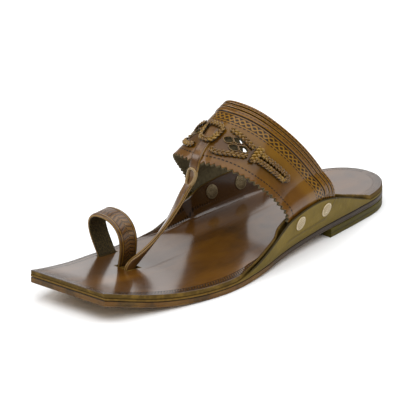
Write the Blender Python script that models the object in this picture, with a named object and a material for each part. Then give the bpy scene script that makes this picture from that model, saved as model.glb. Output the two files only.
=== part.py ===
# Kolhapuri chappal, one left shoe. Metres, +Z up, toe towards -Y, outer side towards +X.
# A station is a place along the sole: its distance in front of the back of the heel.
import math

import bmesh
import bpy
import numpy as np
from mathutils import Vector

# Sole
SOLE_LENGTH = 0.285
HEEL_WIDTH = 0.067
BALL_WIDTH = 0.094
TOE_WIDTH = 0.061
HEEL_ROUND = 0.040           # depth of the round heel end
HEEL_CENTRE = 0.040          # from the back of the heel to the origin
HEEL_HEIGHT = 0.0065
HEEL_LENGTH = 0.081
OUTSOLE = 0.0039
MIDSOLE = 0.0016
INSOLE = 0.0026
TOE_SPRING = 0.012
TOE_SLANT = -0.11            # how much further the inner corner of the toe reaches, per metre of width
GAP = 0.0003                 # between pieces that touch

# Ears, the side wings of midsole and insole that hold the band
EAR_RISE = 0.022
EAR_FLARE = 0.0045
OUTER_EAR = 0.0016
INNER_EAR = 0.0018
EAR_FILLET = 0.0008
INNER_EAR_SHARE = 0.90       # rise of the inner ear over the footbed, against the outer ear's

# Instep band
BAND = 0.0024                # thickness
BAND_FRONT_RISE = 0.0455     # height of the front edge over its foot
BAND_REAR_RISE = 0.0720
BAND_FRONT_LEAN = 0.0380     # how far the top of each edge stands in front of its foot
BAND_REAR_LEAN = 0.0510
BAND_FRONT_FOOT = 0.134      # stations of the two edges at the outer ear
BAND_REAR_FOOT = 0.079
BAND_SHIFT = 0.004           # the inner foot of the band is this much further forward
BAND_FOOT_HEIGHT = 0.0280
BAND_CROWN = 0.0012          # how much the band bulges between its edges
BAND_END = 0.0125            # how far the ends reach down between the ears
END_TURN = 0.08              # and how much of the half circle's measure that counts as
END_TAPER = 0.62             # how much the ends draw in, front to rear
ROUND = 0.79                 # powers that square up the arch of the band's two edges
FRONT_RISE_POWER = 0.67
REAR_RISE_POWER = 0.95
REAR_LEAN_POWER = 1.24
SNUG_START = 0.004           # the band lies along the ears up to here above them
SNUG_REACH = 0.014
EARS_THICKNESS = OUTER_EAR + INNER_EAR + BAND + 2 * GAP
STRIP_STEP = 0.0005          # each strip of the rear border stands this proud
PINK_PITCH = 0.0040
PINK_DEPTH = 0.0018
PINK_SHARE = 0.11            # how far into the band the pinked edge is felt, as a share of its width
PULL = 0.0040                # how far the centre strap draws the front edge down
PULL_REACH = 0.018

# Ornament, measured on the band from its centre and from its front edge
CENTRE_SHIFT = -0.003        # the pattern's middle lies towards the inner side
HOLE_SIZE = 0.0052
HOLE_PITCH = 0.0060
HOLE_LONG = 0.66             # half lengths of the diamonds, as shares of HOLE_SIZE
HOLE_SHORT = 0.37
LATTICE_OUT = 0.0206
LATTICE_UP = 0.0200
CORD = 0.0048
CORD_RISE = 0.0020
KNOT_OUT = 0.0350
CORD_STEP = 0.0017           # between the sections of a plait
LOBE = 0.08                  # how much a plait swells at each of its strands
WINDOW = 0.0066
FRAME_RISE = 0.0015

# Centre strap, keeper and toe loop
THONG_WIDTH = 0.0078
THONG = 0.0026
THONG_START = 0.0315         # where it begins, behind the band's front edge
THONG_DRIFT = 0.0016         # how far it has moved outward at that edge
THONG_ON_BAND = 0.0012       # how proud it stands where it lies on the band
THONG_FOOT_X = -0.0080
THONG_FOOT_STATION = 0.2270
KEEPER = 0.0012
KEEPER_LENGTH = 0.0034
LOOP_WIDTH = 0.0148
LOOP_SPAN = 0.0210           # between the middles of its two feet
LOOP_RISE = 0.0338
LOOP_BULGE = 0.0070
LOOP_LEAN = 0.0055
LOOP_WALL = 0.0022
LOOP_X = -0.0264
LOOP_STATION = 0.221
LOOP_TURN = 0.0013           # how much the outer foot stands ahead of the middle
LOOP_ROUND = 0.75
LOOP_POWER = 0.97
LOOP_TILT = 0.08

# Rivets
RIVET_HEAD = 0.0100
RIVET_DOME = 0.0011
RIVET_SHAFT = 0.0030
RIVET_HEIGHT = 0.0245
RIVET_STATIONS = {"lateral": (0.120, 0.0905), "medial": (0.1225, 0.0965)}

# Outline: place along the sole, the width it follows, shares of that width to the outer and inner side
OUTLINE = [
    dict(place=0.00, width=HEEL_WIDTH, outer=0.470, inner=0.470),
    dict(place=0.11, width=HEEL_WIDTH, outer=0.458, inner=0.458),
    dict(place=0.20, width=HEEL_WIDTH, outer=0.500, inner=0.497),
    dict(place=0.32, width=BALL_WIDTH, outer=0.397, inner=0.385),
    dict(place=0.44, width=BALL_WIDTH, outer=0.440, inner=0.412),
    dict(place=0.56, width=BALL_WIDTH, outer=0.502, inner=0.440),
    dict(place=0.67, width=BALL_WIDTH, outer=0.532, inner=0.465),
    dict(place=0.78, width=BALL_WIDTH, outer=0.484, inner=0.466),
    dict(place=0.89, width=BALL_WIDTH, outer=0.397, inner=0.413),
    dict(place=1.00, width=TOE_WIDTH, outer=0.440, inner=0.560),
]

# Waist: how much of the heel's height the sole still has
WAIST = [
    dict(place=0.00, lift=1.00),
    dict(place=0.29, lift=1.00),
    dict(place=0.39, lift=0.83),
    dict(place=0.49, lift=0.54),
    dict(place=0.55, lift=0.24),
    dict(place=0.60, lift=0.07),
    dict(place=0.65, lift=0.00),
    dict(place=1.00, lift=0.00),
]
SPRING_START = 0.73          # where the toe leaves the floor, as a share of the length
SPRING_POWER = 1.7

# Ear: share of the full rise along the sole
EAR = [
    dict(place=0.120, rise=0.00),
    dict(place=0.160, rise=0.21),
    dict(place=0.220, rise=0.52),
    dict(place=0.280, rise=0.78),
    dict(place=0.340, rise=0.97),
    dict(place=0.385, rise=1.00),
    dict(place=0.430, rise=0.96),
    dict(place=0.470, rise=0.87),
    dict(place=0.520, rise=0.55),
    dict(place=0.560, rise=0.31),
    dict(place=0.600, rise=0.13),
    dict(place=0.650, rise=0.00),
]

# Rear border of the band: where each strip starts and ends across the band, as shares of its width
STRIPS = [
    dict(start=0.800, end=0.872),
    dict(start=0.884, end=0.932),
    dict(start=0.944, end=1.000),
]

# Plaits: out from the pattern's middle as shares of KNOT_OUT, back from the front edge as shares of
# LATTICE_UP; width and rise as shares of the cord's
PLAITS = [
    dict(name="upper_arm", width=0.92, rise=0.92, outs=(0.406, 0.657, 0.890), backs=(1.395, 1.290, 1.152)),
    dict(name="lower_arm", width=0.92, rise=0.92, outs=(0.243, 0.377, 0.623, 0.890),
         backs=(0.530, 0.490, 0.575, 0.744)),
    dict(name="knot", width=1.10, rise=1.35, outs=(1.014, 1.029, 1.051), backs=(1.310, 0.960, 0.590)),
    dict(name="upper_cord", width=0.98, rise=1.00, outs=(1.148, 1.840), backs=(1.094, 1.094)),
    dict(name="lower_cord", width=0.98, rise=1.00, outs=(1.148, 1.886), backs=(0.826, 0.826)),
]

# Corners of the plaited frame and of its window: out as shares of WINDOW, back as shares of LATTICE_UP
FRAME = [
    dict(window_out=-0.56, window_back=0.92, out=-1.04, back=0.68),
    dict(window_out=0.54, window_back=0.90, out=0.92, back=0.65),
    dict(window_out=0.86, window_back=1.30, out=1.56, back=1.48),
    dict(window_out=-0.62, window_back=1.32, out=-1.40, back=1.51),
]

# Diamond holes: places round the middle of the lattice, as shares of HOLE_PITCH
LATTICE = [
    dict(out=-1.00, back=0.15),
    dict(out=-0.02, back=0.50),
    dict(out=0.02, back=-0.50),
    dict(out=1.00, back=-0.18),
]

# Hanging stretch of the centre strap: shares of the way forward and down from the band's edge to the toe
THONG_ROUTE = [
    dict(forward=0.05, drop=0.16, twist=0.06),
    dict(forward=0.17, drop=0.32, twist=0.22),
    dict(forward=0.29, drop=0.48, twist=0.36),
    dict(forward=0.43, drop=0.63, twist=0.46),
    dict(forward=0.64, drop=0.79, twist=0.54),
    dict(forward=0.84, drop=0.900, twist=0.68),
    dict(forward=0.955, drop=0.955, twist=0.90),
]


def material(name, colour, roughness, metallic=0.0):
    mat = bpy.data.materials.new(name)
    mat.use_nodes = True
    shader = mat.node_tree.nodes["Principled BSDF"]
    shader.inputs["Base Color"].default_value = (*colour, 1.0)
    shader.inputs["Roughness"].default_value = roughness
    shader.inputs["Metallic"].default_value = metallic
    mat.diffuse_color = (*colour, 1.0)
    return mat


def read(rows, key, place):
    """Smooth value of a table column at a place, by cubic pieces through the rows."""
    xs = [row["place"] for row in rows]
    ys = [row[key] for row in rows]
    if place <= xs[0]:
        return ys[0]
    if place >= xs[-1]:
        return ys[-1]
    i = max(k for k in range(len(xs) - 1) if xs[k] <= place)
    slopes = []
    for k in (i, i + 1):
        a, b = max(k - 1, 0), min(k + 1, len(xs) - 1)
        slopes.append((ys[b] - ys[a]) / (xs[b] - xs[a]))
        if (ys[k] - ys[a]) * (ys[b] - ys[k]) <= 0 and 0 < k < len(xs) - 1:
            slopes[-1] = 0.0
    h = xs[i + 1] - xs[i]
    t = (place - xs[i]) / h
    value = (1 + 2 * t) * (1 - t) ** 2 * ys[i] + t * t * (3 - 2 * t) * ys[i + 1]
    return value + h * t * (1 - t) ** 2 * slopes[0] - h * t * t * (1 - t) * slopes[1]


def blend(a, b, t):
    return a + (b - a) * t


def ease(t):
    t = min(max(t, 0.0), 1.0)
    return t * t * (3 - 2 * t)


# Width rows in metres, so that one lookup serves both sides
SIDES = [dict(place=row["place"], outer=row["width"] * row["outer"], inner=row["width"] * row["inner"])
         for row in OUTLINE]


def half_width(station, side):
    """Distance of the sole's edge from the centre line; side is 'outer' or 'inner'."""
    width = read(SIDES, side, station / SOLE_LENGTH)
    if station < HEEL_ROUND:
        width *= math.sqrt(1 - (1 - station / HEEL_ROUND) ** 2)
    return width


def underside(station):
    place = station / SOLE_LENGTH
    height = read(WAIST, "lift", place) * (HEEL_HEIGHT + GAP)
    if place > SPRING_START:
        height += TOE_SPRING * ((place - SPRING_START) / (1 - SPRING_START)) ** SPRING_POWER
    return height


def midsole_bottom(station):
    return underside(station) + OUTSOLE + GAP


def midsole_top(station):
    return midsole_bottom(station) + MIDSOLE


def footbed(station):
    return midsole_top(station) + GAP + INSOLE


def ear_share(station):
    return max(read(EAR, "rise", station / SOLE_LENGTH), 0.0)


def ear_top(station):
    return midsole_top(station) + EAR_RISE * ear_share(station)


def wall_growth(station):
    """0 where the sole lies flat, 1 where the ear has its full thickness."""
    return ease(ear_share(station) / 0.16)


def flare(station, z):
    return EAR_FLARE * max(z - midsole_top(station), 0.0) / EAR_RISE


def pocket(station):
    """Room between the two ears for the end of the band, 0 in front of and behind it."""
    front = ease((BAND_FRONT_FOOT + BAND_SHIFT + 0.010 - station) / 0.008)
    rear = ease((station - BAND_REAR_FOOT + 0.012) / 0.010)
    return (BAND + GAP) * min(front, rear)


def point(x, station, z):
    """World point; the toe's slant turns the stations near the tip."""
    slant = TOE_SLANT * ease((station / SOLE_LENGTH - 0.84) / 0.16)
    return Vector((x, HEEL_CENTRE - station - slant * x, z))


def sole_stations(first, last, count):
    heel = [HEEL_ROUND * (1 - math.cos(a)) for a in np.linspace(0.14, 1.45, 10)]
    rest = list(np.linspace(heel[-1] + 0.006, SOLE_LENGTH, count))
    return [s for s in heel + rest if first <= s < last - 0.001] + [last]


def loft(name, rings, mat, split_caps=False):
    """Closed body through rings of equal length; split_caps is for end sections that aren't flat."""
    bm = bmesh.new()
    rows = [[bm.verts.new(p) for p in ring] for ring in rings]
    size = len(rows[0])
    for a, b in zip(rows, rows[1:]):
        for k in range(size):
            n = (k + 1) % size
            bm.faces.new((a[k], a[n], b[n], b[k]))
    bm.faces.new(rows[0])
    bm.faces.new(rows[-1])
    if split_caps:
        bmesh.ops.triangulate(bm, faces=[f for f in bm.faces if len(f.verts) > 4])
    bmesh.ops.recalc_face_normals(bm, faces=bm.faces)
    mesh = bpy.data.meshes.new(name)
    bm.to_mesh(mesh)
    bm.free()
    return add_object(name, mesh, mat)


def add_object(name, mesh, mat):
    obj = bpy.data.objects.new(name, mesh)
    bpy.context.scene.collection.objects.link(obj)
    mesh.materials.append(mat)
    mesh.shade_smooth()
    mesh.set_sharp_from_angle(angle=math.radians(35))
    return obj


def hide(obj):
    obj.hide_render = True
    obj.display_type = "WIRE"
    return obj


def boolean(obj, cutter, operation):
    mod = obj.modifiers.new(cutter.name, "BOOLEAN")
    mod.operation = operation
    mod.object = cutter
    mod.solver = "EXACT"


def build_heel(mat):
    rings = []
    for s in sole_stations(0.0, HEEL_LENGTH, 40):
        left, right = -half_width(s, "inner"), half_width(s, "outer")
        rings.append([point(x, s, z) for x, z in
                      ((left, 0.0), (right, 0.0), (right, HEEL_HEIGHT), (left, HEEL_HEIGHT))])
    return loft("heel", rings, mat)


def build_outsole(mat):
    rings = []
    for s in sole_stations(0.0, SOLE_LENGTH, 44):
        left, right = -half_width(s, "inner"), half_width(s, "outer")
        low = underside(s)
        rings.append([point(x, s, z) for x, z in
                      ((left, low), (right, low), (right, low + OUTSOLE), (left, low + OUTSOLE))])
    return loft("outsole", rings, mat)


def ear_inset(s):
    """How far the inside of the outer ear stands in from the sole's edge: only the gap where it ends."""
    grow = wall_growth(s)
    return blend(GAP, OUTER_EAR, grow), EAR_FILLET * grow


def midsole_side(s, side):
    """Half section, from the outer bottom corner over the ear and down to the middle."""
    edge, low, top, tip = half_width(s, side), midsole_bottom(s), midsole_top(s), ear_top(s)
    lean = flare(s, tip)
    wall, fillet = ear_inset(s)
    foot = edge - wall
    return [(edge, low), (edge + lean, tip), (edge + lean - wall, tip),
            (foot - GAP * 0.4, top + fillet), (foot - GAP - fillet, top)]


def insole_side(s, side):
    edge, low = half_width(s, side), midsole_top(s) + GAP
    wall, fillet = ear_inset(s)
    grow = wall_growth(s)
    top = low + INSOLE
    tip = top + EAR_RISE * INNER_EAR_SHARE * ear_share(s)
    base = edge - GAP - (wall + fillet if ear_share(s) > 0 else 0.0)
    room = GAP + pocket(s) * grow
    step = min(base, edge - wall + flare(s, low + INSOLE / 2) - room)
    lean = blend(base, edge - wall + flare(s, tip) - room, grow)
    inner = blend(GAP, INNER_EAR, grow)
    return [(base, low), (step, low + INSOLE / 2), (lean, tip), (lean - inner, tip),
            (step - inner - GAP * 0.4, top + fillet), (step - inner - GAP - fillet, top)]


def winged_rings(section, stations):
    rings = []
    for s in stations:
        outer = section(s, "outer")
        inner = [(-x, z) for x, z in section(s, "inner")]
        rings.append([point(x, s, z) for x, z in outer + inner[::-1]])
    return rings


def build_midsole(mat):
    return loft("midsole", winged_rings(midsole_side, sole_stations(0.0, SOLE_LENGTH, 40)), mat)


def build_insole(mat):
    return loft("insole", winged_rings(insole_side, sole_stations(0.0, SOLE_LENGTH, 40)), mat)


def ear_plane_x(station, z, side):
    """Middle of the pocket between the ears, carried on upwards at the ears' flare."""
    edge = half_width(station, side) + flare(station, z)
    return edge - OUTER_EAR - GAP - BAND / 2


def band_edge(angle, which):
    """Front or rear edge of the band: 0 at the outer ear, pi at the inner ear. Gives x, station, z."""
    front = which == "front"
    foot = BAND_FRONT_FOOT if front else BAND_REAR_FOOT
    rise = BAND_FRONT_RISE if front else BAND_REAR_RISE
    lean = BAND_FRONT_LEAN if front else BAND_REAR_LEAN
    power = FRONT_RISE_POWER if front else REAR_RISE_POWER
    lean_power = 1.0 if front else REAR_LEAN_POWER
    c, s = math.cos(angle), max(math.sin(angle), 0.0)
    outer = ear_plane_x(foot, BAND_FOOT_HEIGHT, "outer")
    inner = ear_plane_x(foot + BAND_SHIFT, BAND_FOOT_HEIGHT, "inner")
    x = (outer - inner) / 2 + (outer + inner) / 2 * math.copysign(abs(c) ** ROUND, c)
    station = foot + BAND_SHIFT * (1 - c) / 2 + lean * s ** lean_power
    return Vector((x, station, BAND_FOOT_HEIGHT + rise * s ** power))


def band_middle(turn, across):
    """Middle of the band's wall. turn: 0..1 between the ears, past them the ends; across: 0 front, 1 rear."""
    angle = math.pi * min(max(turn, 0.0), 1.0)
    p = band_edge(angle, "front").lerp(band_edge(angle, "rear"), across)
    p.z += BAND_CROWN * math.sin(math.pi * across) * math.sin(angle)
    from_strap = (p.x - CENTRE_SHIFT) / PULL_REACH
    p.z -= PULL * math.exp(-from_strap ** 2) * (1 - across) ** 3
    side = "outer" if turn < 0.5 else "inner"
    sign = 1.0 if turn < 0.5 else -1.0
    past = max(-turn, turn - 1.0)
    if past > 0:
        k = past / END_TURN
        middle = (band_edge(angle, "front").y + band_edge(angle, "rear").y) / 2
        p.y = middle + (p.y - middle) * math.sqrt(1 - END_TAPER * k * k)
        p.z -= BAND_END * k
    snug = 1 - ease((p.z - ear_top(p.y) - SNUG_START) / SNUG_REACH)
    p.x = blend(p.x, sign * ear_plane_x(p.y, p.z, side), snug)
    return p


def band_point(turn, across, out):
    """Point of the band, 'out' metres outside the middle of its wall, in world axes."""
    step = 0.002
    a = band_middle(turn + step, across) - band_middle(turn - step, across)
    b = band_middle(turn, min(across + step, 1.0)) - band_middle(turn, max(across - step, 0.0))
    normal = a.cross(b)
    normal.normalize()
    p = band_middle(turn, across) + normal * out
    return Vector((p.x, HEEL_CENTRE - p.y, p.z))


# Length along the band, so that ornament is placed in metres from its middle
TURNS = np.linspace(0.0, 1.0, 241)
PATH = [band_point(t, 0.5, BAND / 2) for t in TURNS]
LENGTHS = np.concatenate([[0.0], np.cumsum([(b - a).length for a, b in zip(PATH, PATH[1:])])])
CROWN_LENGTH = float(np.interp(0.5, TURNS, LENGTHS))
BAND_WIDTH = (band_point(0.5, 1.0, 0) - band_point(0.5, 0.0, 0)).length


def on_band(out_from_centre, from_front, out):
    """World point by metres: towards the outer side of the pattern's middle, and behind the front edge."""
    along = CROWN_LENGTH - (CENTRE_SHIFT + out_from_centre)
    turn = float(np.interp(along, LENGTHS, TURNS))
    return band_point(turn, from_front / BAND_WIDTH, out)


def band_rows():
    """Places across the outer face: each strip has a row on both sides of both of its edges."""
    rows = [(0.0, 0.0), (PINK_SHARE, 0.0), (0.36, 0.0), (0.62, 0.0)]
    for row in STRIPS:
        rows += [(row["start"] - 0.003, 0.0), (row["start"] + 0.003, STRIP_STEP), (row["end"], STRIP_STEP)]
    return rows


def band_section(turn, tooth):
    """Section of the wall; tooth is how far the pinked edge stands back here."""
    ring = []
    for across, rise in band_rows():
        p = band_middle(turn, across)
        proud = ease((p.z - ear_top(p.y) - 0.0015) / 0.004)
        ring.append(band_point(turn, across + tooth_share(tooth, across), BAND / 2 + rise * proud))
    for across in (1.0, 0.81, 0.62, 0.36, PINK_SHARE, 0.0):
        ring.append(band_point(turn, across + tooth_share(tooth, across), -BAND / 2))
    return ring


def tooth_share(tooth, across):
    return tooth / BAND_WIDTH * max(1 - across / PINK_SHARE, 0.0)


def band_turns():
    """Turns at the tip and root of every tooth, and the rows of the two ends."""
    front = [band_point(t, 0.0, 0) for t in TURNS]
    along = np.concatenate([[0.0], np.cumsum([(b - a).length for a, b in zip(front, front[1:])])])
    teeth = round(float(along[-1]) / PINK_PITCH)
    marks = np.linspace(0.0, float(along[-1]), 2 * teeth + 1)
    between = [(float(np.interp(m, along, TURNS)), PINK_DEPTH * (k % 2)) for k, m in enumerate(marks)]
    ends = [END_TURN * k for k in (1.0, 0.96, 0.85, 0.6, 0.3)]
    return [(-e, 0.0) for e in ends] + between + [(1 + e, 0.0) for e in reversed(ends)]


def build_band(mat):
    rings = [band_section(turn, tooth) for turn, tooth in band_turns()]
    return loft("upper", rings, mat, split_caps=True)


def frame_on_band(out_from_centre, from_front):
    """Point in the middle of the wall, with the outward normal."""
    p = on_band(out_from_centre, from_front, 0.0)
    normal = on_band(out_from_centre, from_front, 0.001) - p
    return p, normal.normalized()


def smooth_path(points, step):
    """Points at even spacing on a smooth curve through a few chosen ones."""
    pts = [Vector(p) for p in points]
    pts = [pts[0] * 2 - pts[1]] + pts + [pts[-1] * 2 - pts[-2]]
    path = []
    for a, b, c, d in zip(pts, pts[1:], pts[2:], pts[3:]):
        count = max(round((c - b).length / step), 1)
        for k in range(count):
            t = k / count
            path.append(0.5 * (2 * b + (c - a) * t + (2 * a - 5 * b + 4 * c - d) * t * t
                               + (3 * b - a - 3 * c + d) * t ** 3))
    return path + [pts[-2]]


def cord_on_band(name, route, side, width, rise, mat):
    """Half-round plait laid on the band; its lobes follow each other at the cord's own width."""
    path = smooth_path([(u, w, 0.0) for u, w in route], CORD_STEP)
    rings = []
    run = 0.0
    for k, q in enumerate(path):
        p, normal = frame_on_band(side * q.x, q.y)
        a, b = path[max(k - 1, 0)], path[min(k + 1, len(path) - 1)]
        ahead = frame_on_band(side * b.x, b.y)[0] - frame_on_band(side * a.x, a.y)[0]
        across = normal.cross(ahead).normalized()
        run += (q - path[max(k - 1, 0)]).length
        swell = 1.0 + LOBE * math.cos(2 * math.pi * run / width)
        floor = BAND / 2 + GAP
        ring = []
        for share, height in ((-1, 0), (-0.86, 0.62), (-0.4, 1), (0.4, 1), (0.86, 0.62), (1, 0)):
            up = floor + rise * height * swell
            ring.append(p + across * share * width / 2 * swell + normal * up)
        rings.append(ring)
    return loft(name, rings, mat)


def build_side_braid(name, side, mat):
    """The plaited loop round the lattice, the wrapped knot, and two cords running out side by side."""
    for row in PLAITS:
        route = [(KNOT_OUT * out, LATTICE_UP * back) for out, back in zip(row["outs"], row["backs"])]
        width, rise = CORD * row["width"], CORD_RISE * row["rise"]
        cord_on_band(f"{name}_{row['name']}", route, side, width, rise, mat)


def ring_body(name, rings, mat):
    """Closed body whose last ring meets its first, such as a frame or a keeper."""
    bm = bmesh.new()
    rows = [[bm.verts.new(p) for p in ring] for ring in rings]
    size = len(rows[0])
    for a, b in zip(rows, rows[1:] + rows[:1]):
        for k in range(size):
            n = (k + 1) % size
            bm.faces.new((a[k], a[n], b[n], b[k]))
    bmesh.ops.recalc_face_normals(bm, faces=bm.faces)
    mesh = bpy.data.meshes.new(name)
    bm.to_mesh(mesh)
    bm.free()
    return add_object(name, mesh, mat)


def build_centre_braid(mat):
    """Plaited frame at the crown: a window for the centre strap between two slanting sides."""
    seat = BAND / 2 + THONG_ON_BAND + GAP * 4
    inner = [Vector((WINDOW * row["window_out"], LATTICE_UP * row["window_back"])) for row in FRAME]
    outer = [Vector((WINDOW * row["out"], LATTICE_UP * row["back"])) for row in FRAME]
    rings = []
    for k in range(4):
        for part in range(4):
            t = part / 4
            a = inner[k].lerp(inner[(k + 1) % 4], t)
            b = outer[k].lerp(outer[(k + 1) % 4], t)
            crest = b.lerp(a, 0.5)
            shoulder = b.lerp(a, 0.1)
            rings.append([on_band(*a, seat), on_band(*b, seat), on_band(*shoulder, seat + FRAME_RISE * 0.67),
                          on_band(*crest, seat + FRAME_RISE), on_band(*a, seat + FRAME_RISE * 0.6)])
    return ring_body("braid_centre", rings, mat)


def thong_points():
    """Route with its twist in quarter turns, from the crown over the front edge to the slot at the toe."""
    lie = BAND / 2 + THONG_ON_BAND - THONG / 2
    lying = [on_band(0.0, THONG_START * share, lie) for share in (1.0, 0.825, 0.635, 0.445, 0.254)]
    lying.append(on_band(THONG_DRIFT * 0.75, THONG_START * 0.063, lie))
    route = [(p, 0.0) for p in lying]
    start = on_band(THONG_DRIFT, 0.0, 0.0)
    foot = point(THONG_FOOT_X, THONG_FOOT_STATION, midsole_top(THONG_FOOT_STATION + THONG_WIDTH / 2) + GAP)
    rest = foot + Vector((0, 0, INSOLE))
    for row in THONG_ROUTE:
        p = Vector((blend(start.x, rest.x, row["drop"]), blend(start.y, rest.y, row["forward"]),
                    blend(start.z, rest.z, row["drop"])))
        route.append((p, row["twist"]))
    route.append((rest, 1.0))
    route.append((foot, 1.0))
    return route


def build_thong(mat):
    route = thong_points()
    path = smooth_path([p for p, twist in route], 0.0035)
    marks = np.concatenate([[0.0], np.cumsum([(b[0] - a[0]).length for a, b in zip(route, route[1:])])])
    run = np.concatenate([[0.0], np.cumsum([(b - a).length for a, b in zip(path, path[1:])])])
    rings = []
    for k, p in enumerate(path):
        share = float(run[k] / run[-1] * marks[-1])
        turn = float(np.interp(share, marks, [t for q, t in route])) * math.pi / 2
        ahead = (path[min(k + 1, len(path) - 1)] - path[max(k - 1, 0)]).normalized()
        if k == len(path) - 1:
            ahead = Vector((0, 0, -1))
        flat = (Vector((1, 0, 0)) - ahead * ahead.x).normalized()
        back = ahead.cross(flat)
        wide = flat * math.cos(turn) + back * math.sin(turn)
        thick = ahead.cross(wide)
        w, t = THONG_WIDTH / 2, THONG / 2
        half = ((-1, -0.55), (-0.86, -1), (0.86, -1), (1, -0.55))
        rings.append([p + wide * a * w + thick * b * t for a, b in half + tuple((-a, -b) for a, b in half)])
    return loft("centre_strap", rings, mat)


def build_keeper(mat):
    """Leather ring round the centre strap, just under the band's front edge."""
    route = thong_points()
    p, twist = route[6]
    q = route[7][0]
    ahead = (q - p).normalized()
    flat = (Vector((1, 0, 0)) - ahead * ahead.x).normalized()
    turn = twist * math.pi / 2
    wide = flat * math.cos(turn) + ahead.cross(flat) * math.sin(turn)
    thick = ahead.cross(wide)
    reach_w, reach_t = THONG_WIDTH / 2 + GAP * 2, THONG / 2 + GAP * 2.5
    rings = []
    for a, b in ((-1, -1), (0, -1), (1, -1), (1, 0), (1, 1), (0, 1), (-1, 1), (-1, 0)):
        inside = wide * a * reach_w + thick * b * reach_t
        outside = wide * a * (reach_w + KEEPER) + thick * b * (reach_t + KEEPER)
        half = ahead * KEEPER_LENGTH / 2
        rings.append([p + inside - half, p + outside - half, p + outside + half, p + inside + half])
    return ring_body("strap_keeper", rings, mat)


def loop_point(turn):
    """Middle of the toe loop, 0 at its foot beside the centre strap and 1 at the outer foot."""
    a = math.pi * turn
    c, s = math.cos(a), max(math.sin(a), 0.0)
    x = LOOP_X + LOOP_SPAN / 2 * math.copysign(abs(c) ** LOOP_ROUND, c) + LOOP_BULGE * math.sin(2 * a)
    station = LOOP_STATION + LOOP_LEAN * s + LOOP_TURN * c
    return Vector((x, HEEL_CENTRE - station, footbed(LOOP_STATION) + LOOP_RISE * s ** LOOP_POWER))


def loop_rings():
    turns = list(np.linspace(0.0, 1.0, 29))
    middle = [loop_point(t) for t in turns]
    floor = midsole_top(LOOP_STATION + LOOP_WIDTH / 2 + LOOP_TURN) + GAP
    rings = []
    feet = [Vector((p.x, p.y, floor)) for p in (middle[0], middle[-1])]
    path = feet[:1] + middle + feet[1:]
    for k, p in enumerate(path):
        a, b = path[max(k - 1, 0)], path[min(k + 1, len(path) - 1)]
        ahead = (b - a).normalized()
        if k in (0, len(path) - 1):
            ahead = Vector((0, 0, 1 if k == 0 else -1))
        arch = math.sin(math.pi * min(max((k - 1) / 28, 0), 1))
        wide = Vector((0.0, -1.0, -LOOP_TILT * arch)).normalized()
        out = ahead.cross(wide).normalized()
        w, t = LOOP_WIDTH / 2, LOOP_WALL / 2
        rings.append([p + wide * u * w + out * v * t for u, v in
                      ((-1, -0.7), (1, -0.7), (1, 0.5), (0.72, 1.0), (-0.72, 1.0), (-1, 0.5))])
    return rings


def build_toe_loop(mat):
    return loft("toe_loop", loop_rings(), mat)


def block(name, pieces, mat):
    """Cutter of several prisms, each given by two matching outlines."""
    bm = bmesh.new()
    for low, high in pieces:
        a = [bm.verts.new(p) for p in low]
        b = [bm.verts.new(p) for p in high]
        for k in range(len(a)):
            n = (k + 1) % len(a)
            bm.faces.new((a[k], a[n], b[n], b[k]))
        bm.faces.new(a)
        bm.faces.new(b)
    bmesh.ops.recalc_face_normals(bm, faces=bm.faces)
    mesh = bpy.data.meshes.new(name)
    bm.to_mesh(mesh)
    bm.free()
    return hide(add_object(name, mesh, mat))


def footbed_slots(mat):
    """Openings in the footbed for the two feet of the toe loop and for the centre strap."""
    pieces = []
    margin = GAP * 1.5
    for ring in (loop_rings()[0], loop_rings()[-1]):
        xs, ys = [p.x for p in ring], [p.y for p in ring]
        pieces.append(slot(min(xs) - margin, max(xs) + margin * 2.2, min(ys) - margin, max(ys) + margin))
    y = HEEL_CENTRE - THONG_FOOT_STATION
    half_w, half_t = THONG_WIDTH / 2 + GAP * 2, THONG / 2 + GAP * 2
    pieces.append(slot(THONG_FOOT_X - half_t, THONG_FOOT_X + half_t, y - half_w, y + half_w + THONG))
    return block("footbed_slots", pieces, mat)


def slot(x0, x1, y0, y1):
    """Low and high outline of an opening right through the footbed."""
    corners = ((x0, y0), (x1, y0), (x1, y1), (x0, y1))
    low, high = midsole_top(LOOP_STATION) - OUTSOLE / 2, footbed(LOOP_STATION) + INSOLE
    return [Vector((x, y, low)) for x, y in corners], [Vector((x, y, high)) for x, y in corners]


def lattice_cuts(mat):
    """Four diamond holes on each side of the pattern's middle."""
    pieces = []
    long_half, short_half = HOLE_SIZE * HOLE_LONG, HOLE_SIZE * HOLE_SHORT
    for side in (1, -1):
        for row in LATTICE:
            u, w = LATTICE_OUT + HOLE_PITCH * row["out"], LATTICE_UP + HOLE_PITCH * row["back"]
            rim = [(u + long_half, w), (u, w + short_half), (u - long_half, w), (u, w - short_half)]
            pieces.append(tuple([on_band(side * a, b, out) for a, b in rim] for out in (-0.004, 0.004)))
    return block("lattice_cuts", pieces, mat)


def rivet_axis(side, station):
    """Middle of the rivet and its outward direction, square to the ears."""
    name = "outer" if side > 0 else "inner"

    def face(s, z):
        return point(side * (half_width(s, name) + flare(s, z)), s, z)
    p = face(station, RIVET_HEIGHT)
    along = face(station + 0.003, RIVET_HEIGHT) - face(station - 0.003, RIVET_HEIGHT)
    up = face(station, RIVET_HEIGHT + 0.003) - face(station, RIVET_HEIGHT - 0.003)
    normal = along.cross(up).normalized()
    if normal.x * side < 0:
        normal = -normal
    return p, normal


def turned(profile, origin, axis, count):
    flat = axis.orthogonal().normalized()
    other = axis.cross(flat)
    rings = []
    for radius, along in profile:
        rings.append([origin + axis * along + (flat * math.cos(a) + other * math.sin(a)) * radius
                      for a in np.linspace(0, 2 * math.pi, count, endpoint=False)])
    return rings


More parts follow.
